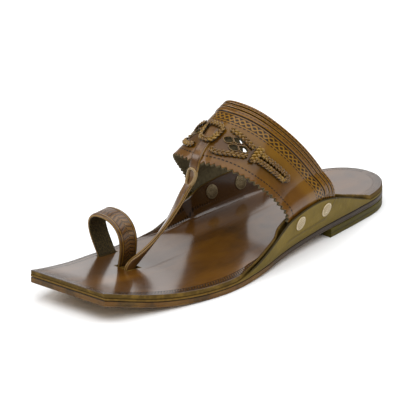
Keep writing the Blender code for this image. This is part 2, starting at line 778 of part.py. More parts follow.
def build_rivet(name, side, station, mat):
    """Round head outside, shaft through ears and band, flat head inside."""
    p, axis = rivet_axis(side, station)
    head, shaft = RIVET_HEAD / 2, RIVET_SHAFT / 2
    seat, back = GAP * 1.3, -EARS_THICKNESS - GAP * 1.6
    profile = [(head * 0.35, seat + RIVET_DOME), (head * 0.8, seat + RIVET_DOME * 0.75), (head, seat),
               (shaft, seat), (shaft, back),
               (head, back), (head * 0.8, back - RIVET_DOME * 0.7), (head * 0.35, back - RIVET_DOME)]
    return loft(name, turned(profile, p, axis, 12), mat)


def rivet_holes(mat):
    pieces = []
    for side, key in ((1, "lateral"), (-1, "medial")):
        for station in RIVET_STATIONS[key]:
            p, axis = rivet_axis(side, station)
            rings = turned([(RIVET_SHAFT / 2 + GAP, 0.004), (RIVET_SHAFT / 2 + GAP, -0.012)], p, axis, 12)
            pieces.append((rings[0], rings[1]))
    return block("rivet_holes", pieces, mat)


def clear_scene():
    for obj in list(bpy.data.objects):
        bpy.data.objects.remove(obj)


def build():
    clear_scene()
    flesh = material("khaki_leather", (0.36, 0.27, 0.12), 0.6)
    sole_leather = material("sole_leather", (0.23, 0.15, 0.09), 0.6)
    glazed = material("glazed_brown_leather", (0.20, 0.09, 0.03), 0.25)
    tan = material("tan_leather", (0.36, 0.19, 0.05), 0.35)
    plait = material("plaited_leather", (0.42, 0.24, 0.07), 0.4)
    brass = material("brass", (0.72, 0.60, 0.40), 0.35, 1.0)
    build_heel(flesh)
    build_outsole(sole_leather)
    midsole = build_midsole(flesh)
    insole = build_insole(glazed)
    upper = build_band(tan)
    holes = rivet_holes(flesh)
    boolean(upper, hide(build_thong(tan)), "UNION")
    boolean(upper, lattice_cuts(tan), "DIFFERENCE")
    boolean(insole, footbed_slots(glazed), "DIFFERENCE")
    for piece in (midsole, insole, upper):
        boolean(piece, holes, "DIFFERENCE")
    build_keeper(tan)
    build_toe_loop(tan)
    build_side_braid("braid_lateral", 1, plait)
    build_side_braid("braid_medial", -1, plait)
    build_centre_braid(plait)
    number = 1
    for side, key in ((1, "lateral"), (-1, "medial")):
        for station in RIVET_STATIONS[key]:
            build_rivet(f"rivet_{number}", side, station, brass)
            number += 1


build()
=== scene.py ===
# Kolhapuri chappal, one left shoe: the looks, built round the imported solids. Metres, +Z up,
# toe towards -Y, outer side of the foot towards +X. A station is a distance in front of the heel's back.
import math

import bmesh
import bpy
import numpy as np
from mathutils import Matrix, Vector

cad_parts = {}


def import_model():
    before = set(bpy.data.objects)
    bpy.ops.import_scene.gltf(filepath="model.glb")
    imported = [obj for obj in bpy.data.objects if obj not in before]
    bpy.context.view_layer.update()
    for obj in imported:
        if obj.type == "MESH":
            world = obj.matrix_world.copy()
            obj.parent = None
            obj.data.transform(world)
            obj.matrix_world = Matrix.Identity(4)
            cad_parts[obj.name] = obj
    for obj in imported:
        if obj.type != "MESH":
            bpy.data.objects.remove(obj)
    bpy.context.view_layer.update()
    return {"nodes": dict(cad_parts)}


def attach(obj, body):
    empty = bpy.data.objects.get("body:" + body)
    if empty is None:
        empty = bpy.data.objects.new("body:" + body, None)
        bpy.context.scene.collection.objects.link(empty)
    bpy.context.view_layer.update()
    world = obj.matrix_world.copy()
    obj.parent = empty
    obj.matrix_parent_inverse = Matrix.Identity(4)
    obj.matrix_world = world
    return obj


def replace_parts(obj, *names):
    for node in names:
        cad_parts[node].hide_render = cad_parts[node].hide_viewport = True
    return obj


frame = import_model()
print("frame loaded:", len(frame["nodes"]), "solids")


class Wire:
    # a socket of one material's nodes; sums and products on it add Math nodes
    def __init__(self, finish, socket):
        self.finish, self.socket = finish, socket

    def math(self, operation, *others):
        return self.finish.add("Math", dict(operation=operation), dict(enumerate((self, *others))))

    def __add__(self, other):
        return self.math("ADD", other)

    def __sub__(self, other):
        return self.math("SUBTRACT", other)

    def __mul__(self, other):
        return self.math("MULTIPLY", other)

    def __truediv__(self, other):
        return self.math("DIVIDE", other)

    def __rsub__(self, other):
        return self.finish.add("Math", dict(operation="SUBTRACT"), {0: other, 1: self})

    __radd__ = __add__
    __rmul__ = __mul__

    def near(self, centre, half, soft=0.3):
        # 1 within half of centre, falling to 0 over the soft share of half outside it
        return (self - centre).math("ABSOLUTE").step(half * (1 + soft), half * (1 - soft))

    def step(self, low, high):
        # 0 at low and 1 at high, eased between them
        return self.finish.add("MapRange", dict(interpolation_type="SMOOTHSTEP"), {
            "Value": self, "From Min": low, "From Max": high, "To Min": 0.0, "To Max": 1.0})

    def every(self, pitch, shift=0.0):
        # 0 to 1 over each pitch
        return (self / pitch + shift).math("FRACT")

    def most(self, other):
        return self.math("MAXIMUM", other)

    def least(self, other):
        return self.math("MINIMUM", other)

    def color(self, other, factor):
        other = other if isinstance(other, Wire) else (*other, 1.0)
        return self.finish.add("Mix", dict(data_type="RGBA"), {0: factor, 6: self, 7: other}, 2)


class Finish:
    # one material, its shader, and the method that adds any node
    def __init__(self, name, **sockets):
        self.material = bpy.data.materials.new(name)
        self.material.use_nodes = True
        self.tree = self.material.node_tree
        self.shader = self.tree.nodes["Principled BSDF"]
        for socket, value in sockets.items():
            self.shader.inputs[socket.replace("_", " ")].default_value = value

    def add(self, kind, settings=None, inputs=None, output=0):
        node = self.tree.nodes.new("ShaderNode" + kind)
        for key, value in (settings or {}).items():
            if key == "stops":
                ramp = node.color_ramp
                while len(ramp.elements) < len(value):
                    ramp.elements.new(0.5)
                for element, (position, color) in zip(ramp.elements, value):
                    element.position, element.color = position, (*color, 1.0)
            else:
                setattr(node, key, value)
        for key, value in (inputs or {}).items():
            if isinstance(value, Wire):
                self.tree.links.new(value.socket, node.inputs[key])
            else:
                node.inputs[key].default_value = value
        return Wire(self, node.outputs[output])

    def tint(self, color):
        return self.add("Mix", dict(data_type="RGBA"), {0: 0.0, 6: (*color, 1.0)}, 2)

    def axes(self):
        vector = self.add("TexCoord", None, None, 3)
        return [self.add("SeparateXYZ", None, {0: vector}, k) for k in range(3)]

    def marks(self, name):
        # the numbers that a piece carries on its points, such as how far along and across it a point is
        vector = self.add("Attribute", dict(attribute_name=name), None, 1)
        return [self.add("SeparateXYZ", None, {0: vector}, k) for k in range(3)]

    def noise(self, scale, detail=3.0, roughness=0.55, stretch=(1.0, 1.0, 1.0), distortion=0.0):
        place = self.add("TexCoord", None, None, 3)
        place = self.add("Mapping", None, {0: place, "Scale": stretch})
        return self.add("TexNoise", None, {"Vector": place, "Scale": scale, "Detail": detail,
                                           "Roughness": roughness, "Distortion": distortion})

    def cells(self, scale):
        place = self.add("TexCoord", None, None, 3)
        return self.add("TexVoronoi", None, {"Vector": place, "Scale": scale})

    def link(self, socket, wire):
        self.tree.links.new(wire.socket, self.shader.inputs[socket])

    def relief(self, height):
        # height is in metres
        bump = self.add("Bump", None, {"Height": height, "Strength": 1.0, "Distance": 1.0})
        self.link("Normal", bump)


def readTable(rows, key, place):
    # smooth value of a column at each place
    xs = np.array([row["place"] for row in rows])
    ys = np.array([row[key] for row in rows])
    last = len(xs) - 1
    slopes = []
    for k in range(len(xs)):
        a, b = max(k - 1, 0), min(k + 1, last)
        turns = 0 < k < last and (ys[k] - ys[a]) * (ys[b] - ys[k]) <= 0
        slopes.append(0.0 if turns else (ys[b] - ys[a]) / (xs[b] - xs[a]))
    slopes = np.array(slopes)
    place = np.clip(np.asarray(place, float), xs[0], xs[-1])
    i = np.clip(np.searchsorted(xs, place, side="right") - 1, 0, last - 1)
    h = xs[i + 1] - xs[i]
    t = (place - xs[i]) / h
    value = (1 + 2 * t) * (1 - t) ** 2 * ys[i] + t * t * (3 - 2 * t) * ys[i + 1]
    return value + h * t * (1 - t) ** 2 * slopes[i] - h * t * t * (1 - t) * slopes[i + 1]


def ease(t):
    t = np.clip(t, 0.0, 1.0)
    return t * t * (3 - 2 * t)


def mixed(a, b, t):
    return a + (b - a) * t


sole = dict(length=0.285, heelWidth=0.067, ballWidth=0.094, toeWidth=0.061, heelRound=0.040, heelCentre=0.040,
            heelHeight=0.0065, heelLength=0.081, outsole=0.0039, midsole=0.0016, insole=0.0026,
            toeSpring=0.012, springStart=0.73, springPower=1.7, toeSlant=-0.11, gap=0.0003)
ears = dict(rise=0.022, flare=0.0045, outer=0.0016, inner=0.0018, fillet=0.0008, innerShare=0.90)
outline = [
    dict(place=0.00, width="heelWidth", outer=0.470, inner=0.470),
    dict(place=0.11, width="heelWidth", outer=0.458, inner=0.458),
    dict(place=0.20, width="heelWidth", outer=0.500, inner=0.497),
    dict(place=0.32, width="ballWidth", outer=0.397, inner=0.385),
    dict(place=0.44, width="ballWidth", outer=0.440, inner=0.412),
    dict(place=0.56, width="ballWidth", outer=0.502, inner=0.440),
    dict(place=0.67, width="ballWidth", outer=0.532, inner=0.465),
    dict(place=0.78, width="ballWidth", outer=0.484, inner=0.466),
    dict(place=0.89, width="ballWidth", outer=0.397, inner=0.413),
    dict(place=1.00, width="toeWidth", outer=0.440, inner=0.560),
]
waist = [
    dict(place=0.00, lift=1.00),
    dict(place=0.29, lift=1.00),
    dict(place=0.39, lift=0.83),
    dict(place=0.49, lift=0.54),
    dict(place=0.55, lift=0.24),
    dict(place=0.60, lift=0.07),
    dict(place=0.65, lift=0.00),
    dict(place=1.00, lift=0.00),
]
earRise = [
    dict(place=0.120, rise=0.00),
    dict(place=0.160, rise=0.21),
    dict(place=0.220, rise=0.52),
    dict(place=0.280, rise=0.78),
    dict(place=0.340, rise=0.97),
    dict(place=0.385, rise=1.00),
    dict(place=0.430, rise=0.96),
    dict(place=0.470, rise=0.87),
    dict(place=0.520, rise=0.55),
    dict(place=0.560, rise=0.31),
    dict(place=0.600, rise=0.13),
    dict(place=0.650, rise=0.00),
]
sides = [dict(place=row["place"], outer=sole[row["width"]] * row["outer"],
              inner=sole[row["width"]] * row["inner"]) for row in outline]


def halfWidth(station, side):
    station = np.asarray(station, float)
    width = readTable(sides, side, station / sole["length"])
    rounded = np.sqrt(np.clip(1 - (1 - station / sole["heelRound"]) ** 2, 0, 1))
    return np.where(station < sole["heelRound"], width * rounded, width)


def underside(station):
    share = np.asarray(station, float) / sole["length"]
    height = readTable(waist, "lift", share) * (sole["heelHeight"] + sole["gap"])
    past = np.clip((share - sole["springStart"]) / (1 - sole["springStart"]), 0, 1)
    return height + sole["toeSpring"] * past ** sole["springPower"]


def midsoleBottom(station):
    return underside(station) + sole["outsole"] + sole["gap"]


def midsoleTop(station):
    return midsoleBottom(station) + sole["midsole"]


def footbed(station):
    return midsoleTop(station) + sole["gap"] + sole["insole"]


def earShare(station):
    return np.maximum(readTable(earRise, "rise", np.asarray(station, float) / sole["length"]), 0.0)


def earTop(station):
    return midsoleTop(station) + ears["rise"] * earShare(station)


def wallGrowth(station):
    return ease(earShare(station) / 0.16)


def flare(station, z):
    return ears["flare"] * np.maximum(z - midsoleTop(station), 0.0) / ears["rise"]


def world(x, station, z):
    # world points; the toe's slant turns the stations near the tip
    x, station, z = np.broadcast_arrays(*[np.asarray(v, float) for v in (x, station, z)])
    slant = sole["toeSlant"] * ease((station / sole["length"] - 0.84) / 0.16)
    return np.stack([x, sole["heelCentre"] - station - slant * x, z], -1)


def soleStations(first, last, step):
    heel = sole["heelRound"] * (1 - np.cos(np.linspace(0.10, 1.48, 26)))
    rest = np.arange(heel[-1] + step, last - step * 0.4, step)
    rows = [s for s in np.concatenate([heel, rest]) if first <= s < last - 0.0005]
    return np.array(rows + [last])


def setMarks(mesh, marks):
    for key, value in marks.items():
        layer = mesh.attributes.new(key, "FLOAT_VECTOR", "POINT")
        layer.data.foreach_set("vector", np.asarray(value, np.float32).reshape(-1))


def gridMesh(name, points, finish, marks, angle=50, caps=True):
    # a tube over closed rows of points; caps closes both its ends
    rows, columns = points.shape[:2]
    index = np.arange(rows * columns).reshape(rows, columns)
    across = np.concatenate([index, index[:, :1]], 1)
    faces = np.stack([across[:-1, :-1], across[:-1, 1:], across[1:, 1:], across[1:, :-1]], -1)
    faces = faces.reshape(-1, 4).tolist()
    if caps:
        faces += [index[0][::-1].tolist(), index[-1].tolist()]
    mesh = bpy.data.meshes.new(name)
    mesh.from_pydata(points.reshape(-1, 3).tolist(), [], faces)
    mesh.update()
    setMarks(mesh, marks)
    return piece(name, mesh, finish, angle)


def piece(name, mesh, finish, angle):
    bm = bmesh.new()
    bm.from_mesh(mesh)
    bmesh.ops.recalc_face_normals(bm, faces=bm.faces)
    bm.to_mesh(mesh)
    bm.free()
    obj = bpy.data.objects.new(name, mesh)
    bpy.context.scene.collection.objects.link(obj)
    mesh.materials.append(finish.material)
    mesh.shade_smooth()
    mesh.set_sharp_from_angle(angle=math.radians(angle))
    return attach(obj, "root")


def cutThrough(target, name, prisms, angle=None):
    # openings with straight sides, each between a low and a high outline
    bm = bmesh.new()
    for low, high in prisms:
        a, b = [[bm.verts.new(Vector(p)) for p in rim] for rim in (low, high)]
        for k in range(len(a)):
            n = (k + 1) % len(a)
            bm.faces.new((a[k], a[n], b[n], b[k]))
        bm.faces.new(a)
        bm.faces.new(b)
    bmesh.ops.recalc_face_normals(bm, faces=bm.faces)
    mesh = bpy.data.meshes.new(name)
    bm.to_mesh(mesh)
    bm.free()
    cutter = bpy.data.objects.new(name, mesh)
    bpy.context.scene.collection.objects.link(cutter)
    mod = target.modifiers.new(name, "BOOLEAN")
    mod.operation, mod.object, mod.solver = "DIFFERENCE", cutter, "EXACT"
    bpy.context.view_layer.update()
    cut = bpy.data.meshes.new_from_object(target.evaluated_get(bpy.context.evaluated_depsgraph_get()))
    target.modifiers.remove(mod)
    target.data = cut
    bpy.data.objects.remove(cutter)
    if angle:
        cut.shade_smooth()
        cut.set_sharp_from_angle(angle=math.radians(angle))


band = dict(thickness=0.0024, frontRise=0.0455, rearRise=0.0720, frontLean=0.0380, rearLean=0.0510,
            frontFoot=0.134, rearFoot=0.079, shift=0.004, footHeight=0.0280, crown=0.0012, end=0.0125,
            endTurn=0.08, endTaper=0.62, squareness=0.79, frontPower=0.67, rearPower=0.95, rearLeanPower=1.24,
            snugStart=0.004, snugReach=0.014, toothPitch=0.0040, toothDepth=0.0018, toothShare=0.11,
            pull=0.0040, pullReach=0.018, centre=-0.003, stripStep=0.0005)
strips = [dict(start=0.800, end=0.872), dict(start=0.884, end=0.932), dict(start=0.944, end=1.000)]


def earPlane(station, z, side):
    edge = halfWidth(station, side) + flare(station, z)
    return edge - ears["outer"] - sole["gap"] - band["thickness"] / 2


bandFeet = dict(
    front=(float(earPlane(band["frontFoot"], band["footHeight"], "outer")),
           float(earPlane(band["frontFoot"] + band["shift"], band["footHeight"], "inner"))),
    rear=(float(earPlane(band["rearFoot"], band["footHeight"], "outer")),
          float(earPlane(band["rearFoot"] + band["shift"], band["footHeight"], "inner"))))


def bandEdge(angle, which):
    foot, rise, lean = band[which + "Foot"], band[which + "Rise"], band[which + "Lean"]
    power = band[which + "Power"]
    leanPower = 1.0 if which == "front" else band["rearLeanPower"]
    c, s = np.cos(angle), np.maximum(np.sin(angle), 0.0)
    outer, inner = bandFeet[which]
    x = (outer - inner) / 2 + (outer + inner) / 2 * np.sign(c) * np.abs(c) ** band["squareness"]
    station = foot + band["shift"] * (1 - c) / 2 + lean * s ** leanPower
    return np.stack([x, station, band["footHeight"] + rise * s ** power], -1)


def bandMiddle(turn, across):
    turn, across = np.broadcast_arrays(np.asarray(turn, float), np.asarray(across, float))
    angle = math.pi * np.clip(turn, 0.0, 1.0)
    front, rear = bandEdge(angle, "front"), bandEdge(angle, "rear")
    p = front + (rear - front) * across[..., None]
    p[..., 2] += band["crown"] * np.sin(math.pi * across) * np.sin(angle)
    pull = band["pull"] * np.exp(-((p[..., 0] - band["centre"]) / band["pullReach"]) ** 2)
    p[..., 2] -= pull * (1 - across) ** 3
    past = np.maximum(np.maximum(-turn, turn - 1.0), 0.0) / band["endTurn"]
    middle = (front[..., 1] + rear[..., 1]) / 2
    p[..., 1] = middle + (p[..., 1] - middle) * np.sqrt(1 - band["endTaper"] * past * past)
    p[..., 2] -= band["end"] * past
    snug = 1 - ease((p[..., 2] - earTop(p[..., 1]) - band["snugStart"]) / band["snugReach"])
    outer, inner = earPlane(p[..., 1], p[..., 2], "outer"), -earPlane(p[..., 1], p[..., 2], "inner")
    p[..., 0] = mixed(p[..., 0], np.where(turn < 0.5, outer, inner), snug)
    return p


def bandPoint(turn, across, out):
    # world point 'out' metres outside the middle of the band's wall
    turn, across, out = np.broadcast_arrays(*[np.asarray(v, float) for v in (turn, across, out)])
    step = 0.002
    a = bandMiddle(turn + step, across) - bandMiddle(turn - step, across)
    b = bandMiddle(turn, np.minimum(across + step, 1.0)) - bandMiddle(turn, np.maximum(across - step, 0.0))
    normal = np.cross(a, b)
    normal /= np.linalg.norm(normal, axis=-1, keepdims=True)
    p = bandMiddle(turn, across) + normal * out[..., None]
    return np.stack([p[..., 0], sole["heelCentre"] - p[..., 1], p[..., 2]], -1)


turnMarks = np.linspace(0.0, 1.0, 241)
midPath = bandPoint(turnMarks, 0.5, band["thickness"] / 2)
runMarks = np.concatenate([[0.0], np.cumsum(np.linalg.norm(np.diff(midPath, axis=0), axis=1))])
crownRun = float(np.interp(0.5, turnMarks, runMarks))
bandWidth = float(np.linalg.norm(bandPoint(0.5, 1.0, 0) - bandPoint(0.5, 0.0, 0)))


def onBand(out, back, up):
    # out from the pattern's middle to the outer side, back from the front edge, up from the wall's middle
    turn = np.interp(crownRun - (band["centre"] + np.asarray(out, float)), runMarks, turnMarks)
    return bandPoint(turn, np.asarray(back, float) / bandWidth, up)


def turnsToOut(turn):
    # metres out from the pattern's middle, carried on past the ears
    inside = np.interp(np.clip(turn, 0, 1), turnMarks, runMarks)
    past = np.where(turn < 0, turn, np.where(turn > 1, turn - 1, 0.0)) / band["endTurn"] * band["end"]
    return crownRun - inside - past - band["centre"]


# tones of the leathers
tanTones = dict(base=(0.112, 0.043, 0.0015), pale=(0.235, 0.112, 0.005), dark=(0.026, 0.009, 0.001),
                line=(0.010, 0.006, 0.003), flesh=(0.125, 0.100, 0.052), fibre=(0.055, 0.046, 0.026))
# eye is the pale of a painted highlight on the strap's eye
strapTones = dict(base=(0.090, 0.036, 0.006), pale=(0.19, 0.090, 0.016), dark=(0.025, 0.010, 0.003),
                  edge=(0.215, 0.115, 0.022), worn=(0.10, 0.048, 0.010), eye=(0.30, 0.20, 0.085))
loopTones = dict(base=(0.095, 0.038, 0.0065), pale=(0.20, 0.105, 0.024), inside=(0.090, 0.062, 0.018),
                 mesh=(0.018, 0.012, 0.005), edge=(0.27, 0.155, 0.040), worn=(0.09, 0.038, 0.010))
footbedTones = dict(base=(0.058, 0.021, 0.0015), warm=(0.128, 0.050, 0.0028), dark=(0.014, 0.0055, 0.0012),
                    line=(0.010, 0.005, 0.003), side=(0.085, 0.050, 0.009), sidePale=(0.20, 0.118, 0.022))
earTones = dict(base=(0.165, 0.112, 0.016), olive=(0.105, 0.072, 0.008), pale=(0.260, 0.185, 0.045),
                dark=(0.036, 0.026, 0.011), cut=(0.165, 0.092, 0.014), cutDark=(0.080, 0.044, 0.008))
soleTones = dict(edge=(0.034, 0.021, 0.012), edgePale=(0.060, 0.042, 0.024), brown=(0.120, 0.052, 0.006),
                 tan=(0.215, 0.125, 0.020), stain=(0.036, 0.022, 0.005), dark=(0.012, 0.007, 0.005),
                 under=(0.30, 0.20, 0.10))
heelTones = dict(base=(0.066, 0.052, 0.007), pale=(0.110, 0.086, 0.016), grey=(0.056, 0.048, 0.018))


def grain(finish, fine=0.00003):
    # pores and soft creases of smooth leather, as a height in metres
    pores = finish.cells(1500.0)
    soft = finish.noise(180.0, 4.0, 0.6)
    return (pores * fine) + (soft * fine * 3.0)


def bandFinish():
    look = dict(coat=0.60, coatRoughness=0.15, dash=0.0030)
    finish = Finish("band leather", Specular_IOR_Level=0.10, Coat_Weight=look["coat"],
                    Coat_Roughness=look["coatRoughness"], Coat_IOR=1.40)
    out, share, face = finish.marks("bandPlace")
    tone = finish.noise(26.0, 4.0, 0.6)
    cloud = finish.noise(70.0, 3.0, 0.55)
    color = finish.tint(tanTones["base"]).color(tanTones["pale"], tone.step(0.45, 0.75) * 0.55)
    color = color.color(tanTones["dark"], cloud.step(0.52, 0.80) * 0.35)
    # painted shade darkens the band round the plaits, and the tan fades paler towards the rear border
    reach = (out.math("ABSOLUTE") - 0.030).math("ABSOLUTE")
    shade = share.near(0.385, 0.20, 0.9) * reach.near(0.0, 0.036, 0.6)
    color = color.color(tanTones["dark"], shade * (0.35 + tone * 0.45))
    pale = share.near(0.56, 0.11, 0.8) * (0.3 + tone * 0.7)
    color = color.color(tanTones["pale"], pale * 0.55)
    # lines: share across, half width, depth, dashed
    lines = [
        dict(at=0.112, half=0.0085, depth=0.00035, dashed=0.62, ink=0.90),
        dict(at=0.632, half=0.0075, depth=0.00035, dashed=0.62, ink=0.85),
        dict(at=0.792, half=0.0085, depth=0.00045, dashed=0.0, ink=0.95),
        dict(at=0.838, half=0.0055, depth=0.00020, dashed=0.55, ink=0.60),
        dict(at=0.878, half=0.0080, depth=0.00045, dashed=0.0, ink=0.92),
        dict(at=0.908, half=0.0050, depth=0.00018, dashed=0.55, ink=0.55),
        dict(at=0.938, half=0.0080, depth=0.00045, dashed=0.0, ink=0.92),
        dict(at=0.968, half=0.0065, depth=0.00025, dashed=0.60, ink=0.85),
    ]
    height = grain(finish)
    ink = None
    for k, row in enumerate(lines):
        mark = share.near(row["at"], row["half"], 0.35)
        if row["dashed"]:
            mark = mark * out.every(look["dash"], 0.23 * k).near(0.5, row["dashed"] / 2, 0.3)
        height = height - mark * row["depth"]
        mark = mark * row["ink"]
        ink = mark if ink is None else ink.most(mark)
    # painted highlight along the crest of each rib between the lines
    crestHighlights = None
    for at in (0.652, 0.776, 0.812, 0.862, 0.892, 0.924, 0.952, 0.986):
        crestHighlight = share.near(at, 0.006, 0.8)
        crestHighlights = crestHighlight if crestHighlights is None else crestHighlights.most(crestHighlight)
    # stamped border: two waves cross in a chain with a boss in every link, between two fine dashed lines
    border = dict(middle=0.713, half=0.054, swing=0.033, line=0.0140, pitch=0.0086, curl=0.037)
    phase = out.every(border["pitch"]) * (2 * math.pi)
    swing = phase.math("SINE") * border["swing"]
    chain = (share - border["middle"] - swing).near(0.0, border["line"], 0.4)
    chain = chain.most((share - border["middle"] + swing).near(0.0, border["line"], 0.4))
    boss = out.every(border["pitch"] / 2, 0.5).near(0.5, 0.17, 0.5)
    boss = boss * share.near(border["middle"], 0.012, 0.5)
    curl = share.near(border["middle"] - border["curl"], 0.010, 0.5)
    curl = curl.most(share.near(border["middle"] + border["curl"], 0.010, 0.5))
    curl = out.every(border["pitch"] / 2).near(0.5, 0.16, 0.5) * curl
    raised = chain.most(boss).most(curl)
    field = share.near(border["middle"], border["half"], 0.06)
    sunk = field * (1.0 - raised)
    height = height + field * raised * 0.00030
    ink = ink.most(sunk * 0.86)
    # pale along the crests, a painted highlight, and on the raised links of the border
    color = color.color(tanTones["pale"], (crestHighlights * 0.65).most(field * raised * 0.75))
    color = color.color(tanTones["line"], ink * face)
    # flesh side and cut edges
    fibre = finish.noise(400.0, 5.0, 0.7)
    inside = finish.tint(tanTones["flesh"]).color(tanTones["fibre"], fibre.step(0.35, 0.75) * 0.7)
    color = inside.color(color, face)
    finish.link("Base Color", color)
    rough = finish.noise(60.0, 3.0, 0.6) * 0.22 + 0.30
    finish.link("Roughness", (rough * face) + (1.0 - face) * 0.85)
    finish.link("Coat Weight", face * look["coat"] * (1.0 - ink * 0.7))
    finish.relief((height * face) + (1.0 - face) * fibre * 0.00015)
    return finish


def buildBand():
    # outer face dense, inner face coarser, in one closed wall
    between = np.linspace(0.0, 1.0, 481)
    frontRun = bandPoint(between, 0.0, 0.0)
    along = np.concatenate([[0.0], np.cumsum(np.linalg.norm(np.diff(frontRun, axis=0), axis=1))])
    teeth = round(along[-1] / band["toothPitch"])
    steps = 6 * 2 * teeth
    marks = np.linspace(0.0, along[-1], steps + 1)
    turns = np.interp(marks, along, between)
    phase = np.linspace(0.0, 2 * teeth, steps + 1) % 2
    notch = np.abs(phase - 1)
    tooth = band["toothDepth"] * (0.4 * ease(notch) + 0.6 * notch)
    ends = band["endTurn"] * np.linspace(0.08, 1.0, 14)
    turns = np.concatenate([-ends[::-1], turns, 1 + ends])
    tooth = np.concatenate([np.full(14, tooth[0]), tooth, np.full(14, tooth[-1])])
    half = band["thickness"] / 2
    rows = [(0.0, -0.4, 0), (0.0, 0.55, 0), (0.006, 0.90, 1), (0.014, 1.0, 1)]
    rows += [(a, 1.0, 1) for a in np.linspace(0.03, 0.785, 72)]
    for strip in strips:
        rise = band["stripStep"] / half
        start, end = strip["start"], strip["end"]
        rows += [(start - 0.004, 1.0, 1), (start + 0.003, 1.0 + rise * 0.75, 1)]
        rows += [(start + 0.009, 1.0 + rise, 1)]
        rows += [(a, 1.0 + rise * (1 + 0.35 * math.sin(math.pi * (a - start) / (end - start))), 1)
                 for a in np.linspace(start + 0.016, end - 0.012, 5)]
        rows += [(end - 0.005, 1.0 + rise * 0.9, 1), (end, 1.0 + rise * 0.5, 1)]
    rows += [(1.0, 0.6, 0), (1.0, -0.5, 0), (0.992, -1.0, 0)]
    rows += [(a, -1.0, 0) for a in np.linspace(0.95, 0.05, 22)]
    rows += [(0.012, -1.0, 0), (0.0, -0.8, 0)]
    across = np.array([r[0] for r in rows])
    outs = np.array([r[1] for r in rows])
    faces = np.array([r[2] for r in rows], float)
    t, a = turns[:, None], across[None, :]
    share = tooth[:, None] / bandWidth * np.maximum(1 - a / band["toothShare"], 0.0)
    over = bandMiddle(t, a)
    proud = ease((over[..., 2] - earTop(over[..., 1]) - 0.0015) / 0.004)
    extra = np.maximum(outs - 1.0, 0.0)[None, :]
    up = (np.minimum(outs, 1.0)[None, :] + extra * proud) * half
    # hand-worked leather is never quite even
    uneven = np.sin(t * 23.0 + a * 4.0) * np.sin(t * 9.0 - a * 7.0) * 0.00025
    points = bandPoint(t, a + share, up + uneven * np.sin(math.pi * np.clip(t, 0, 1)))
    placeMarks = np.stack(np.broadcast_arrays(turnsToOut(t), a + share, faces[None, :]), -1)
    return gridMesh("instepBand", points, bandFinish(), dict(bandPlace=placeMarks))


lattice = dict(size=0.0052, pitch=0.0060, longHalf=0.66, shortHalf=0.40, out=0.0206, back=0.0200,
               rim=0.00045, cord=0.00042)
latticeSpots = [(-1.00, 0.15), (-0.02, 0.50), (0.02, -0.50), (1.00, -0.18)]     # out and back, in pitches


def latticeHoles():
    # side and middle of each diamond hole
    return [(side, lattice["out"] + lattice["pitch"] * out, lattice["back"] + lattice["pitch"] * back)
            for side in (1, -1) for out, back in latticeSpots]


def cutHoles(target):
    # four diamond holes in each lattice, cut right through
    a, b = lattice["size"] * lattice["longHalf"], lattice["size"] * lattice["shortHalf"]
    count, reach = 24, 0.004
    prisms = []
    for side, u, w in latticeHoles():
        rim = []
        for k in range(count):
            angle = 2 * math.pi * k / count
            c, s = math.cos(angle), math.sin(angle)
            rim.append((u + a * math.copysign(abs(c) ** 1.35, c), w + b * math.copysign(abs(s) ** 1.35, s)))
        prisms.append([[onBand(side * p, q, up) for p, q in rim] for up in (-reach, reach)])
    cutThrough(target, "hole cutter", prisms, 50)


instepBand = buildBand()
cutHoles(instepBand)
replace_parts(instepBand, "upper")
print("band built:", len(instepBand.data.polygons), "faces")


def smoothPath(points, step):
    # even points on a smooth curve through a few chosen ones
    pts = np.asarray(points, float)
    pts = np.concatenate([[pts[0] * 2 - pts[1]], pts, [pts[-1] * 2 - pts[-2]]])
    path = []
    for a, b, c, d in zip(pts, pts[1:], pts[2:], pts[3:]):
        count = max(round(float(np.linalg.norm(c - b)) / step), 1)
        for t in np.arange(count) / count:
            path.append(0.5 * (2 * b + (c - a) * t + (2 * a - 5 * b + 4 * c - d) * t * t
                               + (3 * b - a - 3 * c + d) * t ** 3))
    return np.array(path + [pts[-2]])


def runOf(path):
    return np.concatenate([[0.0], np.cumsum(np.linalg.norm(np.diff(path, axis=0), axis=1))])


def unit(v):
    return v / np.maximum(np.linalg.norm(v, axis=-1, keepdims=True), 1e-12)


def thonging(finishName, tones):
    # round leather thongs of the plaits: glossy ridges, painted shade in the hollows where the strands run
    # low
    finish = Finish(finishName, Specular_IOR_Level=0.15, Coat_Weight=0.5, Coat_Roughness=0.18)
    height = finish.marks("thong")[2]
    tone = finish.noise(120.0, 3.0, 0.6)
    color = finish.tint(tones["base"]).color(tones["pale"], tone.step(0.4, 0.7) * 0.75)
    # painted shade: darker where a strand runs low or turns under
    color = color.color(tones["line"], (1.0 - height.step(-0.20, 0.72)) * 0.97)
    finish.link("Base Color", color)
    finish.link("Roughness", tone * 0.25 + 0.28)
    finish.relief(grain(finish))
    return finish


# line is the near-black of the painted shade in the plaits' hollows
plaitTones = dict(base=(0.110, 0.050, 0.0030), pale=(0.27, 0.150, 0.014), line=(0.004, 0.003, 0.001))
plaitLook = thonging("plaited thongs", plaitTones)


